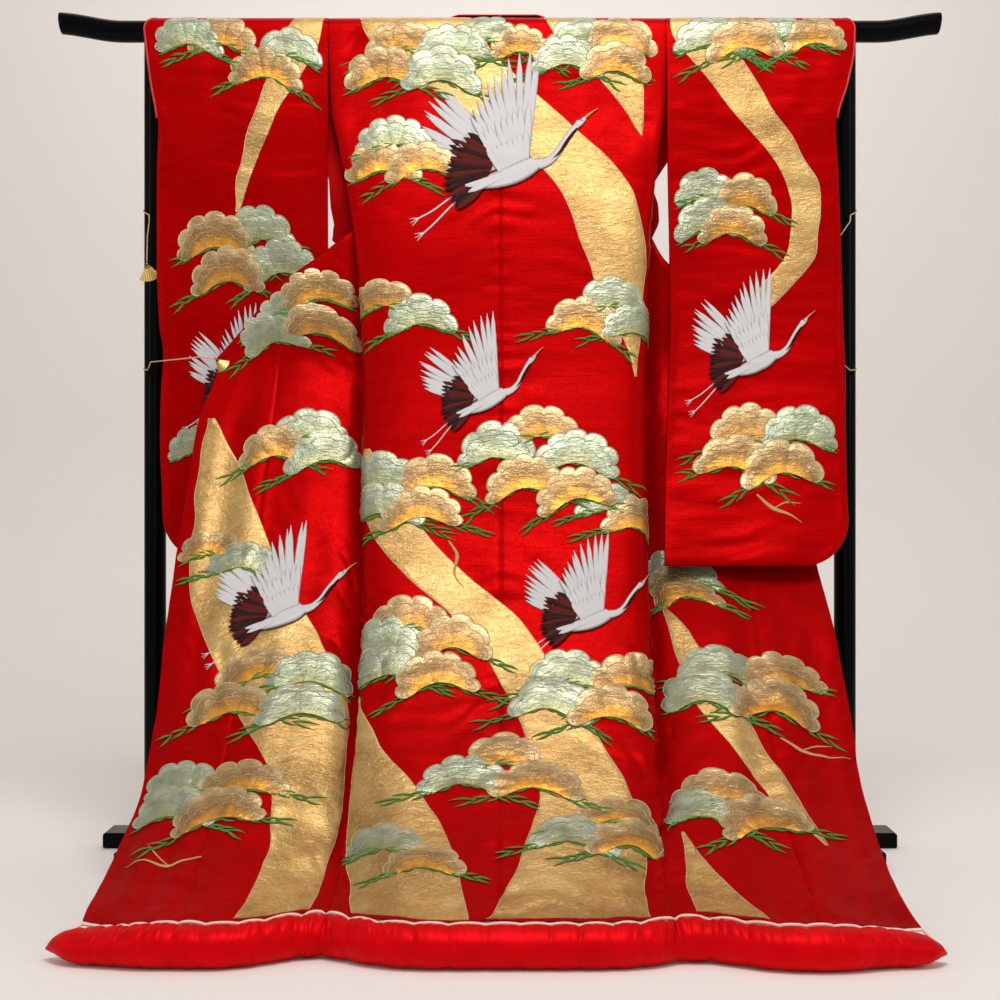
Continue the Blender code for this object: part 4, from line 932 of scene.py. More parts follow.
FRONT = {side: front_grid(side) for side in (-1, 1)}
for side, word in ((-1, "left"), (1, "right")):
    grid, normal = FRONT[side]
    if (normal[HIDDEN + TURN + 60, 60, 1] < 0):
        normal = -normal
    for name, a, b_, wide in (("front", 1.0, 2.0, 0.25), ("okumi", 2.0, 3.0, 0.145)):
        if name == "front":
            fine = np.array([1 + ZG, 1.006, 1.014, 1.03, 1.05])
            zones = np.concatenate([fine, np.linspace(1.072, 1.965, 40), [1.979, 1.989, 1.9955, 2 - ZG]])
        else:
            zones = np.concatenate([[2 + ZG, 2.008, 2.02, 2.038], np.linspace(2.075, 2.95, 22), [2.975, 2.992, 3.0]])
        first = 0 if name == "front" else 16
        dense = across_grid(grid, np.arange(first, HIDDEN + TURN + 1), zones)
        dn = across_grid(normal, np.arange(first, HIDDEN + TURN + 1), zones)
        if name == "okumi":
            dense[:HIDDEN - first, 0] += 0.15 * (dense[:HIDDEN - first, 1] - dense[:HIDDEN - first, 0])
        if name == "front":          # behind the slit below the sleeve's seam the hanging front shows its side edge
            hs = dense[:, 0, 2]
            order = np.argsort(hs)
            want = np.interp(hs, *(([1.150, 1.163, 1.20, 1.25, 1.30, 1.36, 1.44, 1.52], [0.262, 0.309, 0.3165, 0.3205, 0.329, 0.330, 0.329, 0.316]) if side < 0 else
                                   ([1.168, 1.18, 1.215, 1.249, 1.262, 1.30, 1.31, 1.40, 1.44, 1.52], [0.271, 0.302, 0.300, 0.288, 0.296, 0.321, 0.326, 0.326, 0.322, 0.304])))
            push = np.where((hs > 1.151) & (hs < 1.52) & (np.arange(len(hs)) < HIDDEN - 2), want - np.abs(dense[:, 0, 0]), 0)
            push = np.clip(push, 0, 0.06)
            row = np.arange(len(hs))
            if side < 0:
                low = step(49, 53, row) * step(HIDDEN - 0.5, HIDDEN - 3.5, row)
                push = np.maximum(push, 0.052 * low)
                dense[..., 2] -= 0.013 * (low * step(51, 56, row))[:, None] * step(1.30, 1.0, zones)[None, :]
            dense[..., 0] += side * push[:, None] * step(1.30, 1.0, zones)[None, :]
        edge = front_behind(side, zones, np.ones_like(zones))[1]
        top = run_at(edge[:, 2])
        f = np.linspace(0, 1, 205)[1:]
        f = f * 0.97 + 0.03 * f**2
        rr = top[None, :] + (LENGTH - top)[None, :] * f[:, None]
        zz = np.broadcast_to(zones[None, :], rr.shape)
        p = body(rr, side * zz)
        n = body(rr, side * zz, BODY_NORMAL)
        n = n * np.sign(np.sum(n * dn[-1][None], axis=2, keepdims=True))
        w = (body_wrinkle(side * zz, rr) + seam_roll(zz, a, 3.4 if name == "okumi" else b_, wide)) * step(0, 0.04, rr - top[None, :])
        w = w * (0.08 + 0.92 * step(1.05, 1.24, zz))
        p = p + n * w[..., None]
        p = np.concatenate([dense, p])
        n = np.concatenate([dn, n])
        n /= np.linalg.norm(n, axis=2, keepdims=True)
        d = np.concatenate([[0], np.cumsum(np.linalg.norm(np.diff(p[:, p.shape[1] // 2], axis=0), axis=1))])
        uv = np.stack(np.broadcast_arrays(side * (0.30 + (zones[None, :] - 1) * 0.25), d[:, None]), -1)
        b = Builder()
        b.slab(p + n * CLOTH / 2, p - n * CLOTH / 2, uv, 0, 1, 0)
        ob = b.make(f"{name}_{word}_cloth", [SILK, LINING], slot="scarlet_silk")
        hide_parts(f"{name}_{word}")

for side, word in ((-1, "left"), (1, "right")):
    bottom = BAR_HEIGHT - np.array(SLEEVE_ROWS[side])[-1, 0]
    low = bottom - 0.085
    downs = np.concatenate([np.linspace(0, low, int(low / CELL)), low + 0.085 * np.sin(np.linspace(0, math.pi / 2, 22))[1:-1],
                            [bottom - 0.0004, bottom]])
    ac = np.concatenate([[0, 0.004, 0.012, 0.025], np.linspace(0.045, 0.93, 44), [0.944, 0.957, 0.969, 0.98, 0.989, 0.995, 0.9985, 1.0]])
    rows, uvs = [], []
    for d in downs[::-1]:
        rows.append(sleeve_point(side, 1, d, ac) + np.stack([0 * ac, sleeve_wrinkle(side, 1, d, ac), 0 * ac], -1))
        uvs.append(-d)
    a0, a1 = sleeve_point(side, 1, 0.0, ac), sleeve_point(side, -1, 0.0, ac)
    for k in range(1, 12):
        ang = math.pi * k / 12
        p = a0 + (a1 - a0) * step(0, math.pi, ang)
        p[:, 1] = WRAP * math.cos(ang)
        p[:, 2] = BAR_HEIGHT + WRAP * math.sin(ang)
        rows.append(p)
        uvs.append(WRAP * ang)
    for d in downs:
        rows.append(sleeve_point(side, -1, d, ac) - np.stack([0 * ac, sleeve_wrinkle(side, -1, d, ac), 0 * ac], -1))
        uvs.append(WRAP * math.pi + d)
    p = np.array(rows)
    n = grid_normals(p)
    if n[40, 20, 1] < 0:
        n = -n
    uv = np.stack(np.broadcast_arrays(side * (0.7 + ac[None, :] * 0.33), np.array(uvs)[:, None]), -1)
    b = Builder()
    b.slab(p + n * CLOTH / 2, p - n * CLOTH / 2, uv, 0, 1, 0)
    ob = b.make(f"sleeve_{word}_cloth", [SILK, LINING], slot="scarlet_silk")
    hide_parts(f"sleeve_{word}")

# ---------------------------------------------------------------- collar
COLLAR_WIDE = 0.075


def collar_grid(side):
    starts = [(x, 0.0, x * 0.16 + 0.0002, COLLAR_WIDE) for x in np.linspace(0.0002, 0.0930, 20)]
    x0, x1, w1, x2, dw = (float(BEHIND_ROWS[side][-1][k]) for k in range(1, 6))
    x3, w3 = 0.50, float(down_behind(0.912))
    w2 = w3 + dw
    for q in np.concatenate([np.linspace(0.003, 0.03, 14), np.linspace(0.035, 0.33, 50)]):
        c0, c1, c2, c3 = (1 - q)**3, 3 * q * (1 - q)**2, 3 * q * q * (1 - q), q**3
        x = c0 * x0 + c1 * x1 + c2 * x2 + c3 * x3 - 0.0030
        w = c1 * w1 + c2 * w2 + c3 * w3
        starts.append((x, w, x - COLLAR_WIDE, w + COLLAR_WIDE * math.exp(-w / 0.09)))
    rows = []
    for xa, wa, xb, wb in starts:
        t = np.linspace(0, 1, 17)
        px, pw = xa + (xb - xa) * t, np.maximum(wa + (wb - wa) * t, 0.0012)
        f, h = behind(pw, lean(side, px, pw))
        h = h + 0.0085 * step(0.102, 0.072, px + 0.004 * side) * np.exp(-pw / 0.035)
        rows.append(np.column_stack([side * px, f, h]))
    return np.array(rows)


for side, word in ((-1, "left"), (1, "right")):
    p = collar_grid(side)
    n = grid_normals(p)
    if n[5, 8, 1] > 0:
        n = -n
    uv = np.stack(np.broadcast_arrays(np.linspace(0, 0.075, p.shape[1])[None, :], np.linspace(0, 0.6, p.shape[0])[:, None]), -1)
    b = Builder()
    b.slab(p + n * 0.0013, p - n * 0.0013, uv, 0, 0, 0)
    ob = b.make(f"collar_{word}_cloth", [SILK, LINING], slot="scarlet_silk")
    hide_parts(f"collar_{word}")

# ---------------------------------------------------------------- round bodies
def tube_grid(path, radii, sides, start=None):
    """Rings round a path: (count, sides, 3)."""
    path = np.asarray(path, float)
    tan = np.gradient(path, axis=0)
    tan /= np.linalg.norm(tan, axis=1)[:, None]
    ref = np.array([0, 1.0, 0]) if abs(tan[0, 1]) < 0.8 else np.array([1.0, 0, 0])
    u = ref - tan[0] * np.dot(ref, tan[0])
    ang = np.linspace(0, 2 * math.pi, sides, endpoint=False)
    out = []
    radii = np.broadcast_to(np.asarray(radii, float), (len(path),)) if np.ndim(radii) < 2 else radii
    for k in range(len(path)):
        u = u - tan[k] * np.dot(u, tan[k])
        u /= np.linalg.norm(u)
        v = np.cross(tan[k], u)
        r = radii[k] if np.ndim(radii) < 2 else radii[k][:, None]
        out.append(path[k] + r * (np.cos(ang)[:, None] * u + np.sin(ang)[:, None] * v))
    return np.array(out)


def ring_mesh(name, rings, material, smooth=True, uv_len=None):
    """Closed body from rings, with flat capped ends drawn in to their middle."""
    m, k = rings.shape[:2]
    pts = to_frame(np.concatenate([rings.reshape(-1, 3), rings[0].mean(0)[None], rings[-1].mean(0)[None]]))
    i, j = np.meshgrid(np.arange(m - 1), np.arange(k), indexing="ij")
    i, j = i.ravel(), j.ravel()
    j2 = (j + 1) % k
    quads = np.stack([i * k + j, i * k + j2, (i + 1) * k + j2, (i + 1) * k + j], 1)
    jj = np.arange(k)
    cap0 = np.stack([jj, np.full(k, m * k), (jj + 1) % k], 1)
    cap1 = np.stack([(m - 1) * k + jj, (m - 1) * k + (jj + 1) % k, np.full(k, m * k + 1)], 1)
    faces = [tuple(f) for f in quads] + [tuple(f) for f in cap0] + [tuple(f) for f in cap1]
    vol = 0.0
    for f in (quads[:, [0, 1, 2]], quads[:, [0, 2, 3]], cap0, cap1):
        vol += np.sum(pts[f[:, 0]] * np.cross(pts[f[:, 1]], pts[f[:, 2]]))
    if vol < 0:
        faces = [f[::-1] for f in faces]
    me = bpy.data.meshes.new(name)
    me.from_pydata([tuple(p) for p in pts], [], [tuple(int(q) for q in f) for f in faces])
    me.polygons.foreach_set("use_smooth", np.array([len(f) == 4 for f in faces]) if smooth else np.zeros(len(faces), bool))
    me.materials.append(material)
    me.uv_layers.new(name="cloth")
    me.update()
    if len(faces) > 8000:
        me = thin(me, 0.62)
    ob = bpy.data.objects.new(name, me)
    bpy.context.scene.collection.objects.link(ob)
    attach(ob, "root")
    return ob


# ---------------------------------------------------------------- hem roll and piping
def hem_line(zones):
    return body(np.full(np.shape(zones), LENGTH), zones)


def piping_line(zones):
    """Seam line of the piping, over the back of the roll."""
    k = np.linspace(-2.985, 2.985, 700)
    line = hem_line(k)
    for _ in range(60):
        line[1:-1, :2] = 0.25 * line[:-2, :2] + 0.5 * line[1:-1, :2] + 0.25 * line[2:, :2]
    t_ = np.gradient(line, axis=0)
    t_ /= np.linalg.norm(t_, axis=1)[:, None]
    line[:, 0] -= 0.0074 * t_[:, 1]
    line[:, 1] += 0.0074 * t_[:, 0]
    line[:, 2] = 2 * ROLL_RADIUS - 0.0010
    return np.stack([np.interp(zones, k, line[:, q]) for q in range(3)], -1)


# one padded roll under the whole hem, thinner where the side seams fall back
t = np.linspace(-3.0, 3.0, 1200)
path = hem_line(t)
for _ in range(900):
    path[1:-1, :2] = 0.25 * path[:-2, :2] + 0.5 * path[1:-1, :2] + 0.25 * path[2:, :2]
path[:, 1] += ROLL_FORWARD - 0.845
for e in (slice(0, 110), slice(-110, None)):
    k = np.linspace(1, 0, 110) if e.start == 0 else np.linspace(0, 1, 110)
    path[e, 0] += np.sign(t[e]) * (0.050 if e.start == 0 else 0.030) * k
path = path[np.linspace(0, 1199, 760).astype(int)]
d = np.concatenate([[0], np.cumsum(np.linalg.norm(np.diff(path, axis=0), axis=1))])
ends = np.minimum(d, d[-1] - d)
zt = np.interp(np.linspace(0, 1199, 760), np.arange(1200), t)
path[:, 1] -= 0.014 * step(0.17, 0.075, ends)       # closer under the hem towards its tips
swell = smooth_curve(np.clip(ends, 0, 0.30), [0, 0.009, 0.020, 0.034, 0.052, 0.085, 0.30], [0.08, 0.33, 0.61, 0.83, 0.95, 1.0, 1.0])
swell = swell * (1 - 0.17 * bump(zt, -1.0, 0.10) - 0.17 * bump(zt, 1.0, 0.09) - 0.05 * bump(zt, 0.05, 0.25))
r = ROLL_RADIUS * swell
path[:, 2] = r + 0.0002 + 0.017 * (1 - np.clip(ends / 0.060, 0, 1)) ** 1.5
rings = tube_grid(path, r, 64)
axis = path[:, None, :]
rel = rings - axis
ang = np.arctan2(rel[..., 2], rel[..., 1])            # 0 forward, pi/2 up
top = np.clip(np.cos(ang - 2.1), 0, 1)                # the side that is sewn to the piping
dd = d[:, None] + 0 * ang
near = 0.80 + 1.1 * bump(zt, -1.0, 0.38)[:, None] + 1.1 * bump(zt, 1.0, 0.34)[:, None] + 0.25 * noise(dd / 0.10, 0 * dd, 58)
near = near * step(0.0, 0.10, ends)[:, None]
wob = noise(dd / 0.05, ang * 0.6, 60) * 0.35


def puffs(at, least, more, seed, power=0.5):
    """Row of uneven puffs along a length: 0 in the creases, 1 on the crests."""
    rng = np.random.RandomState(seed)
    knots = np.cumsum(least + more * rng.rand(int(2.2 / least))) - 0.1
    k = np.clip(np.searchsorted(knots, at) - 1, 0, len(knots) - 2)
    q = np.clip((at - knots[k]) / (knots[k + 1] - knots[k]), 0, 1)
    return (4 * q * (1 - q)) ** power


big = puffs(dd + 0.0040 * wob, 0.032, 0.022, 21)
mid = puffs(dd + 0.0050 * wob + 0.0012 * noise(dd / 0.02, ang * 1.2, 64), 0.0095, 0.0105, 22, 0.6)
fine = noise(dd / 0.0062 + 1.4 * wob, ang * 0.7, 66)
some = 0.35 + 0.65 * step(-0.2, 0.4, noise(dd / 0.045, ang * 0.5, 67))
g = near * (0.130 * (big - 0.8) * (0.55 + 0.45 * top) + 0.120 * some * (mid - 0.8) * (0.28 + 0.72 * top**1.1) + 0.020 * fine * (0.2 + 0.8 * top**1.5))
g = g + 0.045 * noise(dd / 0.13, ang * 0.5, 72) * step(0.0, 0.10, ends)[:, None]
# it is drawn up to the piping all along
seam = piping_line(zt)
up, back = seam[:, 2] - path[:, 2], seam[:, 1] - path[:, 1]
reach = np.clip((np.hypot(up, back) - 0.0016) / r - 1, 0, 0.75 + 0.80 * step(0.17, 0.09, ends)) * step(0.022, 0.046, ends)
for _ in range(12):
    reach[1:-1] = 0.25 * reach[:-2] + 0.5 * reach[1:-1] + 0.25 * reach[2:]
towards = np.arctan2(up, back)
g = g + (reach + 0.10 * step(0.022, 0.046, ends) * step(0.15, 0.09, ends))[:, None] * np.clip(np.cos(ang - towards[:, None]), 0, 1) ** (2.2 - 1.5 * step(0.16, 0.06, ends))[:, None]
rings = axis + rel * (1 + g)[..., None]
rings[..., 2] = np.maximum(rings[..., 2], 0.0004 + 0.0006 * (1 + noise(rings[..., 0] / 0.02, rings[..., 1] / 0.02, 5)))
ROLL_TOP = (d, near[:, 0], zt)
ob = ring_mesh("hem_roll_cloth", rings, ROLL_SATIN)
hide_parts("hem_roll_left", "hem_roll_back", "hem_roll_right")

dense = hem_line(np.linspace(-2.985, 2.985, 700))
for _ in range(60):
    dense[1:-1, :2] = 0.25 * dense[:-2, :2] + 0.5 * dense[1:-1, :2] + 0.25 * dense[2:, :2]
_t = np.gradient(dense, axis=0)
_t /= np.linalg.norm(_t, axis=1)[:, None]
dense[:, 0] -= 0.0074 * _t[:, 1]
dense[:, 1] += 0.0074 * _t[:, 0]
dense[:, 2] = 2 * ROLL_RADIUS - 0.0010
k = np.linspace(-2.985, 2.985, 700)
place = np.interp(k, zt, d)
pull = np.interp(k, zt, near[:, 0])
arch = puffs(place, 0.032, 0.022, 21, 0.62)
dense[:, 2] += 0.0052 * (arch - 0.72) * pull + 0.0014 * noise(k * 4, 0 * k, 82) + 0.0014
dense[:, 1] += (0.0030 * (arch - 0.72) + 0.0008 * noise(k * 17, 0 * k, 83)) * pull
# past the cloth's corners it runs on along the roll to its tips
way = 1.75 + (towards - 1.75) * step(0.010, 0.050, ends)
out_to = r * (0.985 + reach * np.clip(np.cos(way - towards), 0, 1) ** 2.2) + 0.0006
crest = path + out_to[:, None] * np.stack([0 * way, np.cos(way), np.sin(way)], -1)
west, east = crest[(path[:, 0] < dense[0, 0] - 0.006) & (ends > 0.003)], crest[(path[:, 0] > dense[-1, 0] + 0.006) & (ends > 0.003)]
dense = np.concatenate([west, dense, east])
for _ in range(3):
    dense[1:-1] = 0.25 * dense[:-2] + 0.5 * dense[1:-1] + 0.25 * dense[2:]
ob = ring_mesh("hem_piping_cloth", tube_grid(dense[::1], PIPING_RADIUS, 12), PIPING)
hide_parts("hem_piping")

# ---------------------------------------------------------------- sleeve edging
for side, word in ((-1, "left"), (1, "right")):
    downs = np.linspace(0.174, 0.0, 40)
    front = sleeve_point(side, 1, downs, np.ones(40))
    back = sleeve_point(side, -1, downs[::-1], np.ones(40))
    over = []
    for q in range(1, 16):
        ang = math.pi * q / 16
        mix = step(0, math.pi, ang)
        p = front[-1] * (1 - mix) + back[0] * mix
        over.append([p[0], WRAP * math.cos(ang), BAR_HEIGHT + WRAP * math.sin(ang)])
    edge = np.concatenate([front, over, back[:26]])
    edge[:, 0] += side * 0.0030
    ob = ring_mesh(f"cuff_{word}_cloth", tube_grid(edge, 0.0022, 12), ROSE)
    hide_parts(f"cuff_{word}")

# ---------------------------------------------------------------- stand
span = np.linspace(-BAR_HALF, BAR_HALF, 240)
rise = BAR_LIFT * step(BAR_STRAIGHT, BAR_HALF + 0.01, np.abs(span))
bar = np.column_stack([span, np.zeros_like(span), BAR_HEIGHT + rise])
rad = np.full(240, BAR_RADIUS)
rings = tube_grid(bar, rad, 64)
# the ends are cut a little aslant, with an eased rim
for e, sgn in ((0, -1), (-1, 1)):
    tilt = (rings[e][:, 2] - bar[e, 2]) * 0.17
    rings[e][:, 0] += sgn * tilt
rim0 = rings[0].mean(0) + (rings[0] - rings[0].mean(0)) * 0.93 + np.array([-0.0012, 0, 0])
rim1 = rings[-1].mean(0) + (rings[-1] - rings[-1].mean(0)) * 0.93 + np.array([0.0012, 0, 0])
rings = np.concatenate([rim0[None], rings, rim1[None]])
ob = ring_mesh("bar_looks", rings, LACQUER)
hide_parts("stand_bar")
for side, word in ((-1, "left"), (1, "right")):
    h = np.concatenate([[FOOT_HEIGHT + 0.0003, FOOT_HEIGHT + 0.0012], np.linspace(0.04, 1.50, 12), [BAR_HEIGHT - BAR_RADIUS - 0.0018, BAR_HEIGHT - BAR_RADIUS - 0.0006]])
    path = np.column_stack([np.full(len(h), side * POST_X), np.zeros(len(h)), h])
    rr = np.full(len(h), POST_RADIUS)
    rr[[0, -1]] -= 0.001
    ob = ring_mesh(f"post_{word}_looks", tube_grid(path, rr, 64), LACQUER)
    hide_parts(f"stand_post_{word}")
for name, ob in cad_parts.items():
    mat = LACQUER if name.startswith("stand") else BRASS if name.startswith("fan") else None
    if mat is not None:
        for s in ob.material_slots:
            s.material = mat
# ---------------------------------------------------------------- embroidered and foiled motifs
class Lookup:
    """A cloth surface worked out once on a 3 mm net, then read between its knots."""

    def __init__(self, surface, lo, hi, step_size=0.003):
        self.lo, self.step = np.array(lo, float), step_size
        nu, ns = (int(math.ceil((hi[k] - lo[k]) / step_size)) + 1 for k in range(2))
        u, s = np.meshgrid(lo[0] + step_size * np.arange(nu), np.minimum(lo[1] + step_size * np.arange(ns), hi[1]), indexing="ij")
        self.p, self.n = surface(u, s)

    def __call__(self, u, s):
        a = np.clip((np.asarray(u) - self.lo[0]) / self.step, 0, self.p.shape[0] - 1.001)
        b = np.clip((np.asarray(s) - self.lo[1]) / self.step, 0, self.p.shape[1] - 1.001)
        i, j = a.astype(int), b.astype(int)
        a, b = (a - i)[..., None], (b - j)[..., None]
        out = []
        for g in (self.p, self.n):
            out.append((g[i, j] * (1 - a) + g[i + 1, j] * a) * (1 - b) + (g[i, j + 1] * (1 - a) + g[i + 1, j + 1] * a) * b)
        out[1] /= np.linalg.norm(out[1], axis=-1, keepdims=True)
        return tuple(out)


class Panel:
    """One panel's motifs: a surface to lay them on, a Builder for each material, and where the panel ends at each height."""

    def __init__(self, name, surface, edges, start=None, over=0.0):
        self.name, self.surface, self.sets, self.edges, self.start, self.over = name, surface, {}, edges, start, over

    def builder(self, key):
        return self.sets.setdefault(key, Builder())

    def holds(self, x, y, margin=0.004):
        lo, hi = self.edges(y)
        ok = (x > lo + margin) & (x < hi - margin)
        if self.start is not None:
            ok &= y > self.start(x) + margin
        return bool(np.all(ok))


def body_edges(za, zb):
    """Edges of a body panel, metres from the centre back at each distance down."""
    def edges(s):
        r = np.clip(np.asarray(s, float), 0, LENGTH) / LENGTH * (len(RUNS) - 1)
        rows = np.arange(len(RUNS))
        ca = [np.interp(za, ZONE_AXIS, ARCS[k]) for k in rows]
        cb = [np.interp(zb, ZONE_AXIS, ARCS[k]) for k in rows]
        return np.interp(r, rows, ca), np.interp(r, rows, cb)
    return edges


def fold_start(side):
    """Distance down at which a front panel's face begins, below its turned-over edge."""
    zones = np.linspace(1, 3, 21)
    down = run_at(front_behind(side, zones, np.ones_like(zones))[1][:, 2])
    across = np.array([float(np.interp(side * z, ZONE_AXIS, ARCS[int(round(s / LENGTH * (len(RUNS) - 1)))])) for z, s in zip(zones, down)])
    order = np.argsort(across)
    return lambda x: np.interp(x, across[order], down[order])


def cached(edges):
    s = np.linspace(0, 2, 401)
    a, b = edges(s)
    return lambda q: (np.interp(q, s, a), np.interp(q, s, b))


LOOKS = {"white": WHITE, "dark": DARK, "maroon": MAROON, "green": GREEN, "gold_cord": GOLD_CORD, "silver_cord": SILVER_CORD,
         "peach": PEACH, "silver": FOIL_SILVER, "gold": FOIL_GOLD, "band": BAND, "red": RED_THREAD}


def place_grid(panel, key, grid, lift, puff, uv=None, depth=0.0009):
    """Lays a grid of flat places on the cloth as a thin closed body, `puff` its rounded height."""
    p, n = panel.surface(grid[..., 0], grid[..., 1])
    panel.builder(key).relief(p + n * (lift + puff)[..., None], p + n * (lift - depth), uv)


def stroke(panel, key, path, halves, lift=0.0008, puff=0.0008, across=5, steps=None, unit=100.0):
    """Strip of satin stitch along a flat path, with its half width at each point."""
    path = np.asarray(path, float)
    halves = np.broadcast_to(np.asarray(halves, float), (len(path),))
    d = np.concatenate([[0], np.cumsum(np.linalg.norm(np.diff(path, axis=0), axis=1))])
    if steps is None:
        steps = int(np.clip(d[-1] / 0.0052, 4, 60))
    across = 3 if float(np.max(halves)) < 0.0012 else across
    t = np.linspace(0, d[-1], steps)
    px, py = smooth_curve(t, d, path[:, 0], path[:, 1]) if len(path) > 2 else (np.interp(t, d, path[:, 0]), np.interp(t, d, path[:, 1]))
    hw = np.maximum(np.interp(t, d, halves), 0.00018)
    tx, ty = np.gradient(px), np.gradient(py)
    m = np.maximum(np.hypot(tx, ty), 1e-9)
    c = np.linspace(-1, 1, across)
    gx = px[:, None] - ty[:, None] / m[:, None] * hw[:, None] * c
    gy = py[:, None] + tx[:, None] / m[:, None] * hw[:, None] * c
    if not panel.holds(gx, gy, 0.0015):
        return
    full = np.minimum(1, hw / 0.0022)[:, None]
    rise = puff * np.sqrt(np.clip(1 - c**2 * 0.93, 0, 1)) * (0.35 + 0.65 * full)
    uv = np.stack(np.broadcast_arrays((c[None, :] + 1) / 2, (t * unit)[:, None]), -1)
    place_grid(panel, key, np.stack([gx, gy], -1), lift, rise, uv)


def turn(points, angle, scale, at, flip=1):
    """Local drawing (x forward, y up) to flat cloth places (across, down)."""
    p = np.asarray(points, float) * scale
    ca, sa = math.cos(angle), math.sin(angle)
    x, y = p[..., 0] * flip, p[..., 1]
    return np.stack([at[0] + x * ca - y * sa * flip, at[1] - (x * sa * flip + y * ca)], -1)


def leaf(base, angle, length, width, curve=0.0, count=7, tip=0.12, wide_at=0.55):
    """Feather outline: its line and half widths."""
    t = np.linspace(0, 1, count)
    a = angle + curve * t
    x = base[0] + np.cumsum(np.concatenate([[0], np.cos(a[:-1]) * length / (count - 1)]))
    y = base[1] + np.cumsum(np.concatenate([[0], np.sin(a[:-1]) * length / (count - 1)]))
    h = width / 2 * np.clip(np.where(t < wide_at, 0.55 + 0.45 * t / wide_at, np.sqrt(np.clip(1 - ((t - wide_at) / (1 - wide_at)) ** 2, 0, 1)) * (1 - tip) + tip * 0.3), 0.08, 1)
    return np.column_stack([x, y]), h


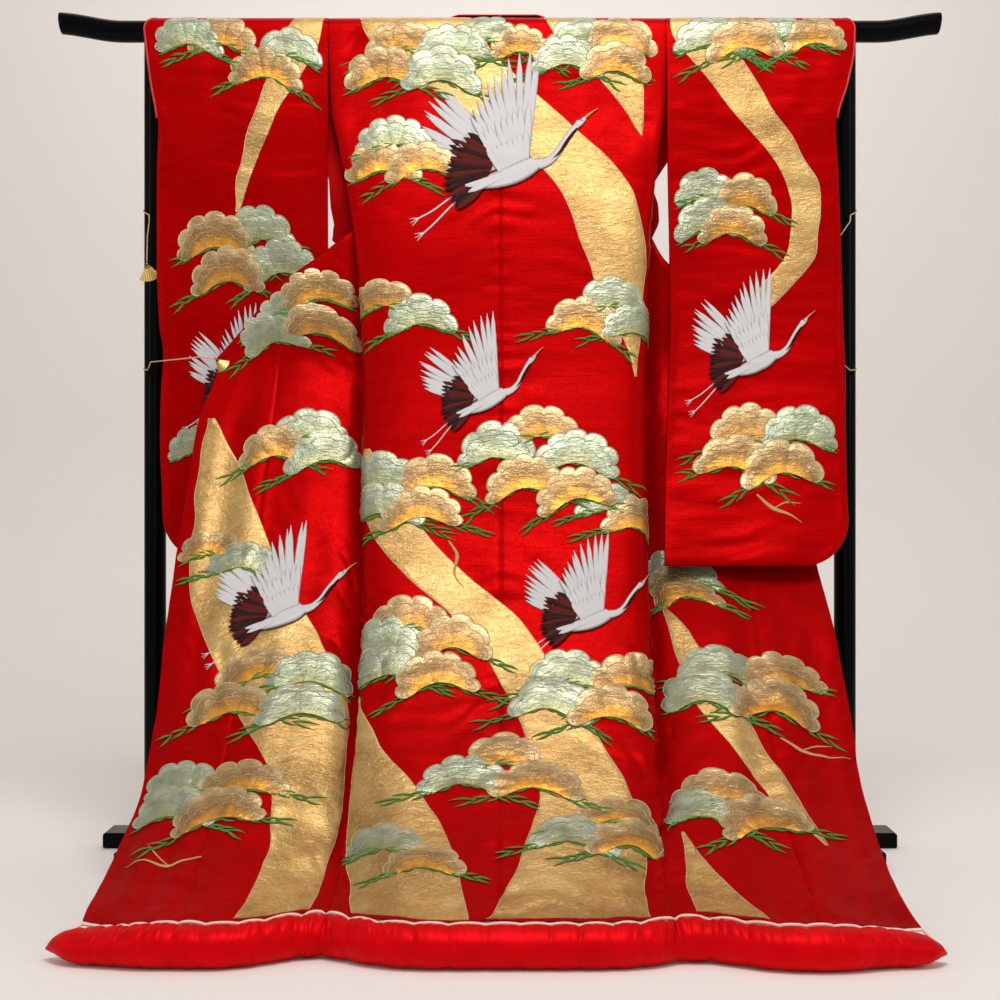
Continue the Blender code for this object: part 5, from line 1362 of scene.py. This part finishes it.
def crane(panel, at, scale, angle=0.0, flip=1, spread=1.0, fold=0.0, seed=1):
    """A flying crane of our own drawing: neck stretched, two raised wings, trailing legs."""
    rng = np.random.RandomState(seed)

    def put(key, pts, halves, lift, puff=0.0009, across=5, steps=None):
        stroke(panel, key, turn(pts, angle, scale, at, flip), np.asarray(halves) * scale, lift, puff * min(1.0, 0.5 + scale * 3), across, steps)

    # legs, behind the tail
    for k, dy in enumerate((0.0, 0.05)):
        leg = [(-0.38, -0.04 + dy), (-0.62, -0.16 + dy * 1.6), (-0.86, -0.30 + dy * 2.6), (-1.00, -0.37 + dy * 3.4)]
        put("white", leg, [0.012, 0.0095, 0.009, 0.008], 0.0004, 0.0006, 4)
        e = leg[-1]
        for da in (-0.35, 0.1, 0.5):
            put("white", [e, (e[0] - 0.10 * math.cos(da), e[1] - 0.10 * math.sin(da) - 0.015)], [0.008, 0.003], 0.0005, 0.0005, 4)
    def feathers(count, root, aim, reach, wide, up, bend=0.0, keys=("white",), climb=0.00008):
        for k in range(count):
            f = k / (count - 1)
            base = (root[0][0] + (root[1][0] - root[0][0]) * f, root[0][1] + (root[1][1] - root[0][1]) * f)
            pts, h = leaf(base, aim(f) + 0.015 * rng.randn(), reach(f), wide, bend * (0.5 - f))
            put(keys[k % len(keys)], pts, h, up + climb * k)

    # far wing, leaning back over the tail: long primaries, coverts, dark secondaries below
    lean_back = math.radians(118 + 10 * fold)
    feathers(10, ((0.04, 0.10), (-0.16, 0.10)), lambda f: lean_back + spread * (0.62 * f - 0.20), lambda f: 1.16 - 0.30 * f - 0.20 * abs(f - 0.3), 0.090, 0.0006, 0.22)
    feathers(8, ((0.04, 0.09), (-0.15, 0.08)), lambda f: lean_back + spread * (0.55 * f - 0.16), lambda f: 0.55 - 0.08 * f, 0.088, 0.0015, 0.10)
    feathers(8, ((-0.10, 0.22), (-0.20, 0.06)), lambda f: math.radians(138 + 30 * f), lambda f: 0.46 - 0.05 * f, 0.092, 0.0018, -0.2, ("maroon", "dark", "maroon", "dark", "dark"), 0.00012)
    # near wing, standing up and a little forward
    stand = math.radians(84 + 8 * fold)
    feathers(11, ((0.27, 0.10), (0.00, 0.07)), lambda f: stand + spread * (0.58 * f - 0.26), lambda f: 1.30 - 0.42 * f - 0.28 * abs(f - 0.25), 0.088, 0.0024, -0.20)
    feathers(9, ((0.26, 0.08), (-0.02, 0.05)), lambda f: stand + spread * (0.55 * f - 0.22), lambda f: 0.66 - 0.16 * f, 0.088, 0.0032, -0.08)
    feathers(8, ((0.25, 0.06), (-0.04, 0.03)), lambda f: stand + spread * (0.50 * f - 0.18), lambda f: 0.36 - 0.06 * f, 0.086, 0.0038, 0.0)
    # dark secondaries and tertials that hang over the tail
    feathers(7, ((-0.02, 0.24), (-0.12, 0.10)), lambda f: math.radians(122 + 40 * f), lambda f: 0.38 + 0.08 * f, 0.088, 0.0036, 0.25, ("dark", "maroon", "maroon"), 0.00012)
    feathers(9, ((-0.12, 0.12), (-0.22, -0.04)), lambda f: math.radians(156 + 56 * f), lambda f: 0.50 - 0.12 * abs(f - 0.4), 0.092, 0.0040, 0.30, ("dark", "dark", "maroon"), 0.00012)
    # body
    t = np.linspace(0, 1, 14)
    x = 0.34 - 0.78 * t
    y = 0.02 - 0.05 * np.sin(math.pi * t) - 0.03 * t
    h = 0.135 * np.sqrt(np.clip(np.sin(math.pi * np.clip(t * 0.88 + 0.10, 0, 1)), 0, 1)) * (1 - 0.55 * t)
    put("white", np.column_stack([x, y]), h, 0.0042, 0.0020, 9, 18)
    for k in range(5):
        f = k / 4
        pts, hh = leaf((0.12 - 0.22 * f, -0.03 - 0.02 * f), math.radians(172 + 12 * f), 0.34, 0.075, 0.10)
        put("white", pts, hh, 0.0054 + 0.0001 * k, 0.0008)
    # neck and head
    neck = [(0.30, 0.01), (0.44, 0.00), (0.58, 0.06), (0.70, 0.17), (0.83, 0.27), (0.92, 0.325)]
    put("white", neck, [0.070, 0.050, 0.036, 0.030, 0.030, 0.036], 0.0032, 0.0016, 7)
    throat = [(0.50, 0.005), (0.60, 0.055), (0.71, 0.150), (0.80, 0.222), (0.87, 0.268)]
    put("dark", throat, [0.006, 0.016, 0.019, 0.016, 0.008], 0.0040, 0.0010, 5)
    put("white", [(0.88, 0.300), (0.93, 0.330), (0.985, 0.352)], [0.034, 0.042, 0.020], 0.0040, 0.0014, 7)
    put("red", [(0.915, 0.352), (0.940, 0.366), (0.965, 0.372)], [0.012, 0.017, 0.010], 0.0052, 0.0008, 5)
    put("dark", [(0.940, 0.330), (0.948, 0.333), (0.956, 0.336)], [0.005, 0.0065, 0.005], 0.0054, 0.0006, 5)
    put("peach", [(0.975, 0.352), (1.06, 0.392), (1.16, 0.425)], [0.017, 0.011, 0.002], 0.0038, 0.0009, 5)


def lobe(panel, key, at, wide, high, scallops=6, tilt=0.0, seed=0, lift=0.0006):
    """One cloud-shaped pine cushion: scalloped above, hollow below, with its couched outline."""
    rng = np.random.RandomState(seed)
    nt, nr = 15 * scallops + 1, 15
    t = np.linspace(0, 1, nt)
    phi = math.radians(204) - math.radians(228) * t
    cuts = np.concatenate([[0], np.cumsum(1 + 0.25 * rng.rand(scallops))])
    cuts /= cuts[-1]
    k = np.clip(np.searchsorted(cuts, t, side="right") - 1, 0, scallops - 1)
    f = (t - cuts[k]) / (cuts[k + 1] - cuts[k])
    bulge = np.sqrt(np.clip(4 * f * (1 - f), 0, 1))
    rad = 0.86 + 0.16 * bulge + 0.03 * np.sin(phi * 2 + seed)
    ox = wide / 2 * rad * np.cos(phi)
    oy = high * rad * np.sin(phi) * np.where(np.sin(phi) < 0, 0.55, 1.0)
    bx = ox[0] * 0.80 + (ox[-1] * 0.80 - ox[0] * 0.80) * t
    by = oy[0] * 0.45 + (oy[-1] * 0.45 - oy[0] * 0.45) * t + high * 0.26 * np.sin(math.pi * t) - high * 0.05
    r = np.linspace(0, 1, nr) ** 0.9
    gx = bx[None, :] + (ox - bx)[None, :] * r[:, None]
    gy = by[None, :] + (oy - by)[None, :] * r[:, None]
    ca, sa = math.cos(tilt), math.sin(tilt)

    def flat(x, y):
        return np.stack([at[0] + x * ca - y * sa, at[1] - (x * sa + y * ca)], -1)

    pillow = 0.0016 * np.clip(1 - r**4, 0, 1)[:, None] * np.clip(1.2 - (2 * t - 1) ** 6, 0, 1)[None, :] * (0.75 + 0.25 * bulge[None, :])
    uv = np.stack([np.broadcast_to(t * scallops, gx.shape), np.broadcast_to(r[:, None], gx.shape)], -1)
    place_grid(panel, key, flat(gx, gy), lift, pillow, uv, 0.0012)
    cord_key = "gold_cord" if key == "gold" else "silver_cord"
    for rr, hw, cut, up in ((0.985, 0.00105, 0, 0.0002), (0.74, 0.00060, 3, 0.0014), (0.48, 0.00045, 8, 0.0014)):
        sel = slice(cut, nt - cut)
        x, y = (bx + (ox - bx) * rr)[sel], (by + (oy - by) * rr)[sel]
        stroke(panel, cord_key, flat(x, y), np.full(len(x), hw), lift + up, 0.0009, 4, len(x))
    return flat


def needles(panel, flat, wide, high, seed=0, twig=True):
    """Green spray beneath a lobe: long overlapping stitches in a bowed row that runs out to points."""
    rng = np.random.RandomState(seed + 77)
    left, right = -0.66 - 0.14 * rng.rand(), 0.66 + 0.14 * rng.rand()
    t = np.linspace(0, 1, 41)
    x = (left + (right - left) * t) * wide
    y = high * (0.24 - 0.88 * np.abs(x / wide) ** 1.3) - high * 0.10
    while len(t) > 9 and not panel.holds(*flat(x, y)[[0]].T, 0.004):
        t, x, y = t[1:], x[1:], y[1:]
    while len(t) > 9 and not panel.holds(*flat(x, y)[[-1]].T, 0.004):
        t, x, y = t[:-1], x[:-1], y[:-1]
    n = 11
    for k in range(n):
        f = (k + 0.5) / n
        way = -1 if f < 0.5 else 1
        c = int(np.clip(f * (len(t) - 1), 1, len(t) - 2))
        slope = math.atan2(y[c + 1] - y[c - 1], x[c + 1] - x[c - 1])
        a0 = slope + (math.pi if way < 0 else 0)
        for up in (1, -1):
            a = a0 + up * way * (0.16 + 0.26 * rng.rand())
            ln = (0.024 + 0.012 * rng.rand()) * (0.75 + 0.9 * abs(f - 0.5)) * wide / 0.14
            sx, sy = x[c] - 0.25 * ln * math.cos(a0), y[c] - 0.25 * ln * math.sin(a0)
            q = np.array([[sx, sy], [sx + 0.5 * ln * math.cos(a), sy + 0.5 * ln * math.sin(a) + 0.0004 * up], [sx + ln * math.cos(a - 0.10 * up * way), sy + ln * math.sin(a - 0.10 * up * way)]])
            stroke(panel, "green", flat(q[:, 0], q[:, 1]), [0.0010, 0.0025, 0.0003], 0.0013 + 0.0005 * rng.rand(), 0.0012, 4, 6)


def cluster(panel, at, size=1.0, plan="gsg", tilt=0.0, seed=0):
    """A tier of pine cushions; plan names each lobe's foil, g gold and s silver."""
    rng = np.random.RandomState(seed)
    spots = {1: [(0, 0)], 2: [(-0.028, 0.026), (0.030, -0.008)],
             3: [(0.004, 0.046), (-0.052, 0.004), (0.046, -0.004)],
             4: [(-0.034, 0.046), (0.048, 0.040), (-0.066, -0.006), (0.022, -0.014)],
             5: [(0.0, 0.066), (-0.058, 0.036), (0.062, 0.030), (-0.030, -0.014), (0.040, -0.030)],
             6: [(-0.04, 0.078), (0.044, 0.070), (-0.088, 0.024), (0.000, 0.020), (0.080, 0.008), (-0.036, -0.036)]}[len(plan)]
    for k, ((x, y), kind) in enumerate(zip(spots, plan)):
        x, y = 1.16 * x * size * (1 + 0.12 * rng.randn()), 1.14 * y * size * (1 + 0.1 * rng.randn())
        w = (0.134 + 0.020 * rng.rand()) * size
        h = (0.067 + 0.012 * rng.rand()) * size
        ca, sa = math.cos(tilt), math.sin(tilt)
        spot = [at[0] + x * ca - y * sa, at[1] - (x * sa + y * ca)]
        spot[1] = max(spot[1], 1.02 * h + 0.008 - panel.over)
        for _ in range(2):
            lo, hi = panel.edges(spot[1])
            spot[0] = float(np.clip(spot[0], lo + 0.53 * w, hi - 0.53 * w))
            if panel.start is not None:
                tops = panel.start(np.linspace(spot[0] - 0.5 * w, spot[0] + 0.5 * w, 7))
                spot[1] = max(spot[1], float(np.max(tops - np.array([0.1, 0.5, 0.8, 0.9, 0.8, 0.5, 0.1]) * -h)) + 0.006)
        flat = lobe(panel, "gold" if kind == "g" else "silver", spot, w, h, int(rng.choice([5, 6, 7])), tilt + 0.10 * rng.randn(), seed * 13 + k,
                    0.0005 + 0.0009 * k)
        needles(panel, flat, w, h, seed * 5 + k)


def band(panel, rows, waves=0.004, seed=0, lift=0.0004, step_len=0.008):
    """Winding gold-leaf band; rows are (distance down, left edge, right edge)."""
    rows = np.asarray(rows, float)
    s = np.linspace(rows[0, 0], rows[-1, 0], int((rows[-1, 0] - rows[0, 0]) / step_len) + 2)
    a, b = smooth_curve(s, rows[:, 0], rows[:, 1], rows[:, 2])
    calm = waves * np.clip((b - a) / 0.030, 0, 1)
    a = a + calm * noise(s / 0.05, 0 * s, 90 + seed)
    b = np.maximum(b + calm * noise(s / 0.05, 0 * s, 95 + seed), a + 0.0006)
    wide = float(np.max(b - a))
    k = int(np.clip(wide / 0.007, 5, 40))
    c = np.linspace(0, 1, k)
    gx = a[:, None] + (b - a)[:, None] * c
    gy = np.broadcast_to(s[:, None], gx.shape)
    edge = np.clip(np.minimum(c, 1 - c) * wide / 0.004, 0, 1)
    rise = 0.0005 * np.sqrt(edge)[None, :] * np.ones_like(gx)
    uv = np.stack([gx, gy], -1)
    place_grid(panel, "band", np.stack([gx, gy], -1), lift, rise, uv, 0.0009)
    for side in (a, b):
        stroke(panel, "gold_cord", np.column_stack([side, s]), np.full(len(s), 0.0007), lift, 0.0008, 4, len(s))


def twig(panel, pts, width=0.004):
    pts = np.asarray(pts, float)
    w = np.linspace(width, 0.0005, len(pts))
    w[0] *= 0.35
    stroke(panel, "peach", pts, w, 0.0006, 0.0012, 5)


BODY_LOOK = Lookup(body_surface, (-0.70, 0.004), (0.70, LENGTH - 0.002))
BACK = Panel("back", BODY_LOOK, cached(body_edges(-0.955, 0.955)))
FRONT_L = Panel("front_left", BODY_LOOK, cached(body_edges(-2.985, -1.06)), fold_start(-1))
FRONT_R = Panel("front_right", BODY_LOOK, cached(body_edges(1.06, 2.985)), fold_start(1))
SLEEVE_EDGES = lambda q: (0.006 + 0 * np.asarray(q), 0.324 - 0.085 * step(0.93, 1.02, np.asarray(q)))
SLEEVE_L = Panel("sleeve_left", Lookup(sleeve_surface(-1), (0.004, -0.034), (0.326, 0.98)), SLEEVE_EDGES, over=0.036)
SLEEVE_R = Panel("sleeve_right", Lookup(sleeve_surface(1), (0.004, -0.034), (0.326, 0.98)), SLEEVE_EDGES, over=0.036)

# gold-leaf bands first, lowest on the cloth
band(BACK, [(0.006, -0.27, -0.06), (0.06, -0.245, -0.03), (0.12, -0.18, 0.02), (0.19, -0.08, 0.09), (0.27, 0.03, 0.175), (0.38, 0.12, 0.250), (0.50, 0.16, 0.268), (0.60, 0.200, 0.258), (0.68, 0.234, 0.250), (0.72, 0.243, 0.246)], seed=1)
band(BACK, [(0.006, 0.08, 0.16), (0.07, 0.12, 0.22), (0.13, 0.18, 0.262), (0.20, 0.235, 0.268), (0.252, 0.2640, 0.2650)], seed=2)
band(BACK, [(0.86, -0.245, -0.235), (0.93, -0.255, -0.19), (1.02, -0.225, -0.13), (1.10, -0.165, -0.06), (1.18, -0.08, 0.03), (1.28, -0.01, 0.085),
            (1.40, 0.035, 0.15), (1.52, 0.06, 0.20), (1.64, 0.04, 0.225), (1.74, 0.01, 0.215), (1.822, -0.02, 0.215)], seed=3)
band(BACK, [(1.34, -0.248, -0.242), (1.44, -0.243, -0.19), (1.56, -0.240, -0.11), (1.68, -0.233, -0.07), (1.822, -0.214, -0.045)], seed=4)
band(FRONT_L, [(0.80, -0.612, -0.600), (0.88, -0.618, -0.55), (1.00, -0.612, -0.49), (1.12, -0.60, -0.43), (1.24, -0.56, -0.36), (1.36, -0.50, -0.312),
               (1.48, -0.44, -0.306), (1.60, -0.415, -0.306), (1.70, -0.40, -0.303), (1.822, -0.385, -0.290)], seed=5)
band(FRONT_R, [(1.17, 0.387, 0.391), (1.20, 0.382, 0.402), (1.28, 0.378, 0.43), (1.36, 0.39, 0.455), (1.44, 0.43, 0.485), (1.54, 0.475, 0.515), (1.62, 0.52, 0.535), (1.65, 0.535, 0.539)], seed=6)
band(FRONT_R, [(1.63, 0.324, 0.328), (1.70, 0.314, 0.350), (1.822, 0.292, 0.39)], seed=7)
band(SLEEVE_R, [(-0.033, 0.008, 0.066), (0.006, 0.012, 0.09), (0.08, 0.06, 0.15), (0.15, 0.12, 0.20), (0.23, 0.19, 0.255), (0.32, 0.235, 0.290), (0.42, 0.225, 0.285), (0.50, 0.17, 0.225), (0.56, 0.14, 0.155)], seed=8)
band(SLEEVE_L, [(-0.033, 0.008, 0.055), (0.006, 0.012, 0.07), (0.09, 0.05, 0.11), (0.17, 0.10, 0.145), (0.27, 0.14, 0.17), (0.35, 0.17, 0.178)], seed=9)

# pine cushions
for panel, u, s, size, plan, tilt, seed in (
        (BACK, -0.135, 0.135, 1.00, "gsgs", 0.05, 1),
        (BACK, 0.190, 0.115, 0.95, "sgsg", -0.05, 2),
        (BACK, 0.010, 0.085, 0.85, "sg", 0.0, 3),
        (BACK, -0.195, 0.330, 0.92, "sgg", 0.10, 4),
        (BACK, 0.200, 0.640, 0.90, "sgs", 0.0, 5),
        (BACK, -0.185, 0.620, 0.90, "gs", 0.05, 6),
        (BACK, -0.165, 0.985, 0.98, "sgsg", 0.0, 7),
        (BACK, 0.075, 0.930, 1.02, "gssgg", 0.0, 8),
        (BACK, 0.215, 1.010, 0.85, "sg", -0.08, 9),
        (BACK, -0.150, 1.290, 1.00, "gsgsg", 0.04, 10),
        (BACK, 0.155, 1.370, 1.00, "sgsg", -0.05, 11),
        (BACK, 0.000, 1.530, 0.98, "gsg", 0.0, 12),
        (BACK, -0.145, 1.700, 0.86, "sg", 0.05, 13),
        (BACK, 0.165, 1.655, 0.95, "gsg", -0.03, 14),
        (FRONT_L, -0.405, 0.625, 0.92, "sgsg", 0.06, 15),
        (FRONT_L, -0.430, 0.885, 0.95, "sgs", 0.0, 16),
        (FRONT_L, -0.540, 1.090, 0.86, "gs", 0.05, 17),
        (FRONT_L, -0.420, 1.370, 1.00, "gsgs", 0.05, 18),
        (FRONT_L, -0.520, 1.585, 1.00, "sgsg", 0.08, 19),
        (FRONT_R, 0.400, 1.150, 0.90, "sg", 0.0, 20),
        (FRONT_R, 0.480, 1.365, 1.00, "sgsg", -0.06, 21),
        (FRONT_R, 0.400, 1.610, 0.98, "gsg", -0.04, 22),
        (SLEEVE_R, 0.085, 0.045, 0.92, "gsg", 0.0, 23),
        (SLEEVE_R, 0.235, 0.030, 0.80, "sg", 0.0, 24),
        (SLEEVE_R, 0.100, 0.385, 0.90, "sgsg", 0.0, 25),
        (SLEEVE_R, 0.185, 0.835, 1.00, "gsgg", -0.05, 26),
        (SLEEVE_L, 0.225, 0.030, 0.88, "gs", 0.0, 27),
        (SLEEVE_L, 0.085, 0.095, 0.90, "sg", 0.0, 28),
        (SLEEVE_L, 0.165, 0.470, 1.00, "sgsg", -0.04, 29),
        (SLEEVE_L, 0.225, 0.800, 0.80, "gs", 0.0, 30)):
    cluster(panel, (u, s), size, plan, tilt, seed)

# bare twig tips under some of the cushions
twig(FRONT_L, [(-0.50, 1.675), (-0.545, 1.690), (-0.585, 1.685), (-0.615, 1.700)], 0.0048)
twig(FRONT_L, [(-0.545, 1.690), (-0.575, 1.668), (-0.595, 1.650)], 0.0030)
twig(FRONT_R, [(0.515, 1.425), (0.545, 1.450), (0.585, 1.462), (0.625, 1.470)], 0.0050)
twig(FRONT_R, [(0.545, 1.450), (0.575, 1.440), (0.600, 1.442)], 0.0030)
twig(SLEEVE_R, [(0.165, 0.880), (0.195, 0.905), (0.222, 0.915), (0.246, 0.930)], 0.0055)
twig(SLEEVE_R, [(0.195, 0.905), (0.220, 0.894), (0.244, 0.896)], 0.0032)
twig(BACK, [(-0.09, 1.035), (-0.075, 1.065), (-0.08, 1.095), (-0.06, 1.13)], 0.0050)

# cranes in flight
crane(BACK, (0.010, 0.330), 0.178, 0.30, 1, seed=1)
crane(BACK, (-0.030, 0.770), 0.122, 0.42, 1, 0.95, 0.3, seed=2)
crane(BACK, (0.145, 1.190), 0.122, 0.30, 1, 1.0, 0.0, seed=3)
crane(FRONT_L, (-0.440, 1.185), 0.132, 0.34, 1, 0.95, 0.2, seed=4)
crane(SLEEVE_R, (0.155, 0.640), 0.128, 0.34, 1, 1.0, 0.1, seed=5)
crane(SLEEVE_L, (0.170, 0.690), 0.120, 0.34, -1, 1.0, 0.1, seed=6)

for panel in (BACK, FRONT_L, FRONT_R, SLEEVE_L, SLEEVE_R):
    for key, b in panel.sets.items():
        b.make(f"{panel.name}_{key}_motifs", [LOOKS[key]])
# ---------------------------------------------------------------- cords and clips of the turned corners
def post_loop(side, height, slope, leave, start=100, r=POST_RADIUS + CORD_RADIUS + 0.0004):
    """Cord round a post: from the back round its outer side to the angle `leave`."""
    pts = []
    for a in np.linspace(math.radians(start), math.radians(leave), 14):
        pts.append((side * POST_X + side * r * math.cos(a), -r * math.sin(a), height - slope * (math.radians(start) - a)))
    return pts


def cord_piece(name, points):
    curve = bpy.data.curves.new(name, "CURVE")
    curve.dimensions = "3D"
    spline = curve.splines.new("POLY")
    pts = to_frame(np.array(points))
    spline.points.add(len(pts) - 1)
    for pt, p in zip(spline.points, pts):
        pt.co = (*p, 1)
    curve.bevel_depth = CORD_RADIUS
    curve.bevel_resolution = 5
    curve.use_fill_caps = True
    curve.materials.append(CORD_MAT)
    ob = bpy.data.objects.new(name + "_looks", curve)
    bpy.context.scene.collection.objects.link(ob)
    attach(ob, "root")
    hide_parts(name)
    length = float(np.sum(np.linalg.norm(np.diff(pts, axis=0), axis=1)))
    return length


def fan_piece(name, top, down_dir, height, spread, blades=9, thick=0.0022):
    """Folding-fan clip: ribbed leaf, guard sticks and pivot."""
    top = np.asarray(top, float)
    d = np.asarray(down_dir, float)
    d /= np.linalg.norm(d)
    s = np.array([d[2], 0, -d[0]])
    b = Builder()
    out = np.array([0, 1.0, 0])
    r = np.linspace(0.30, 1.0, 12)
    a = np.linspace(-spread, spread, blades * 8 + 1)
    rr, aa = np.meshgrid(r, a, indexing="ij")
    fold = np.abs(((aa + spread) / (2 * spread) * blades) % 1 - 0.5) * 2
    tip = height * (0.972 + 0.028 * np.sin(fold * math.pi / 2))
    base = top + (rr * tip * np.sin(aa))[..., None] * s + (rr * tip * np.cos(aa))[..., None] * d
    up = base + out * (thick / 2 - 0.0007 * (1 - fold) * rr)[..., None]
    b.slab(up, base - out * thick / 2)
    for ang in np.linspace(-spread, spread, blades):
        t = np.linspace(-0.12, 0.42, 6)
        w = np.linspace(-1, 1, 3)
        tt, ww = np.meshgrid(t, w, indexing="ij")
        half = 0.00045 + 0.0006 * np.clip(tt, 0, 1)
        p = top + (tt * height * math.sin(ang) + ww * half * math.cos(ang))[..., None] * s + (tt * height * math.cos(ang) - ww * half * math.sin(ang))[..., None] * d
        b.slab(p + out * 0.0006, p - out * 0.0006)
    t = np.linspace(0, 2 * math.pi, 25)
    q = np.linspace(0.02, 1, 5)
    qq, tt = np.meshgrid(q, t, indexing="ij")
    disc = top + (qq * 0.0019 * np.cos(tt))[..., None] * s + (qq * 0.0019 * np.sin(tt))[..., None] * d
    b.slab(disc + out * (thick / 2 + 0.0008 * np.sqrt(np.clip(1 - qq**2, 0, 1)))[..., None], disc - out * (thick / 2))
    ob = b.make(name + "_looks", [BRASS], smooth=False, slot="brass_clip")
    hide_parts(name)
    return ob


hang = post_loop(-1, 1.222, 0.010, -70)
e = hang[-1]
hang += [(e[0] + 0.0005, e[1] + 0.0010, e[2] - 0.012), (e[0] - 0.003, e[1] + 0.0010, e[2] - 0.040), (-0.6665, e[1] + 0.0010, 1.1045)]
corner = FRONT[-1][0][HIDDEN + TURN, -1]
grip = corner + np.array([-0.004, 0.0110, 0.002])
tie = post_loop(-1, 0.908, 0.003, -62)
e = tie[-1]
tie += [(e[0] + 0.012, 0.052, 0.912), (grip[0] - 0.030, grip[1], grip[2] + 0.004), (grip[0] - 0.0045, grip[1], grip[2] + 0.0005)]
CORD_LENGTHS = {}
clip = fan_piece("fan_left_high", (-0.6665, hang[-1][1], 1.1000), (0.26, 0, -1), 0.034, 0.66)
CORD_LENGTHS["cord_left_high"] = cord_piece("cord_left_high", hang)
clip = fan_piece("fan_left_low", grip, (0.75, 0, -0.66), 0.026, 0.62)
CORD_LENGTHS["cord_left_low"] = cord_piece("cord_left_low", tie)
corner = FRONT[1][0][HIDDEN + TURN, -1]
grip = corner + np.array([0.004, 0.0110, 0.002])
tie = post_loop(1, 0.908, 0.003, -75)
e = tie[-1]
tie += [(e[0] - 0.012, e[1] + 0.004, 0.909), (grip[0] + 0.030, grip[1], grip[2] + 0.004), (grip[0] + 0.0045, grip[1], grip[2] + 0.0005)]
clip = fan_piece("fan_right_low", grip, (-0.75, 0, -0.66), 0.026, 0.62)
CORD_LENGTHS["cord_right_low"] = cord_piece("cord_right_low", tie)
hang = post_loop(1, 1.222, 0.010, -72)
e = hang[-1]
hang += [(e[0] - 0.001, e[1] + 0.0016, e[2] - 0.012), (0.6400, 0.0265, 1.150), (0.6320, 0.0265, 1.098)]
clip = fan_piece("fan_right_high", (0.6320, hang[-1][1], 1.0935), (-0.06, 0, -1), 0.026, 0.62)
CORD_LENGTHS["cord_right_high"] = cord_piece("cord_right_high", hang)

# ---------------------------------------------------------------- room, light, camera
def plain_stage(name, pts, faces, material, smooth=True):
    me = bpy.data.meshes.new(name)
    me.from_pydata(pts, [], faces)
    me.polygons.foreach_set("use_smooth", np.full(len(faces), smooth))
    me.materials.append(material)
    me.update()
    ob = bpy.data.objects.new(name, me)
    bpy.context.scene.collection.objects.link(ob)
    return ob


STUDIO = Mat("studio_paper", 0.9, 0.0, Specular_IOR_Level=0.2)
_n = STUDIO.noise(STUDIO.place(), 3.0, 2.0)
_c = STUDIO.mix(STUDIO.math("MULTIPLY", _n, 0.5), (0.89, 0.855, 0.825), (0.87, 0.835, 0.805))
STUDIO = STUDIO.out(_c)
prof = [(-6.0, 0.0), (-1.2, 0.0)]
for k in range(1, 16):
    a = math.pi / 2 * k / 16
    prof.append((-1.2 + 0.0 + 0.9 * math.sin(a), 0.9 * (1 - math.cos(a))))
prof += [(-0.3, 0.9), (-0.3, 4.5)]
# the floor runs forward of the part and sweeps up well behind it
pts, faces = [], []
for q, z in prof:
    y = SHIFT + q + 2.6 if q > -6 else -7.0
    pts += [(-7.0, y, z - 0.0002), (7.0, y, z - 0.0002)]
for k in range(len(prof) - 1):
    faces.append((2 * k, 2 * k + 1, 2 * k + 3, 2 * k + 2))
plain_stage("studio_sweep", pts, faces, STUDIO)


def area(name, at, towards, size, power, colour=(1, 1, 1), size_y=None):
    l = bpy.data.lights.new(name, "AREA")
    l.energy = power
    l.color = colour
    l.size = size
    if size_y:
        l.shape = "RECTANGLE"
        l.size_y = size_y
    ob = bpy.data.objects.new(name, l)
    bpy.context.scene.collection.objects.link(ob)
    ob.location = at
    ob.rotation_euler = (Vector(towards) - Vector(at)).to_track_quat("-Z", "Y").to_euler()
    return ob


area("key_top", (0.20, -1.5, 3.3), (0, 0.1, 0.8), 1.4, 60, (1.0, 0.975, 0.94))
area("fill_left", (-3.2, -1.8, 1.7), (0, 0.1, 0.8), 1.8, 15, (1.0, 0.98, 0.96))
area("fill_right", (3.2, -1.9, 1.8), (0, 0.1, 0.8), 1.8, 16, (1.0, 0.98, 0.96))
area("front_low", (0.0, -3.9, 0.9), (0, 0.1, 0.6), 2.2, 5, (1.0, 0.98, 0.97))
area("wall_wash", (0.0, 1.7, 3.2), (0, 2.4, 1.3), 2.6, 24, (1.0, 0.97, 0.945))
world = bpy.data.worlds.new("room")
world.use_nodes = True
world.node_tree.nodes["Background"].inputs["Color"].default_value = (1.0, 0.965, 0.93, 1)
world.node_tree.nodes["Background"].inputs["Strength"].default_value = 0.33
bpy.context.scene.world = world

cam = bpy.data.cameras.new("photo_camera")
cam.lens = 62.53
cam.sensor_width = 36
cam.clip_end = 60
co = bpy.data.objects.new("photo_camera", cam)
bpy.context.scene.collection.objects.link(co)
co.location = (0, SHIFT - 3.3, 0.654)
co.rotation_euler = (math.pi / 2, 0, 0)
bpy.context.scene.camera = co
bpy.context.scene.view_settings.view_transform = "Standard"
bpy.context.scene.view_settings.look = "None"
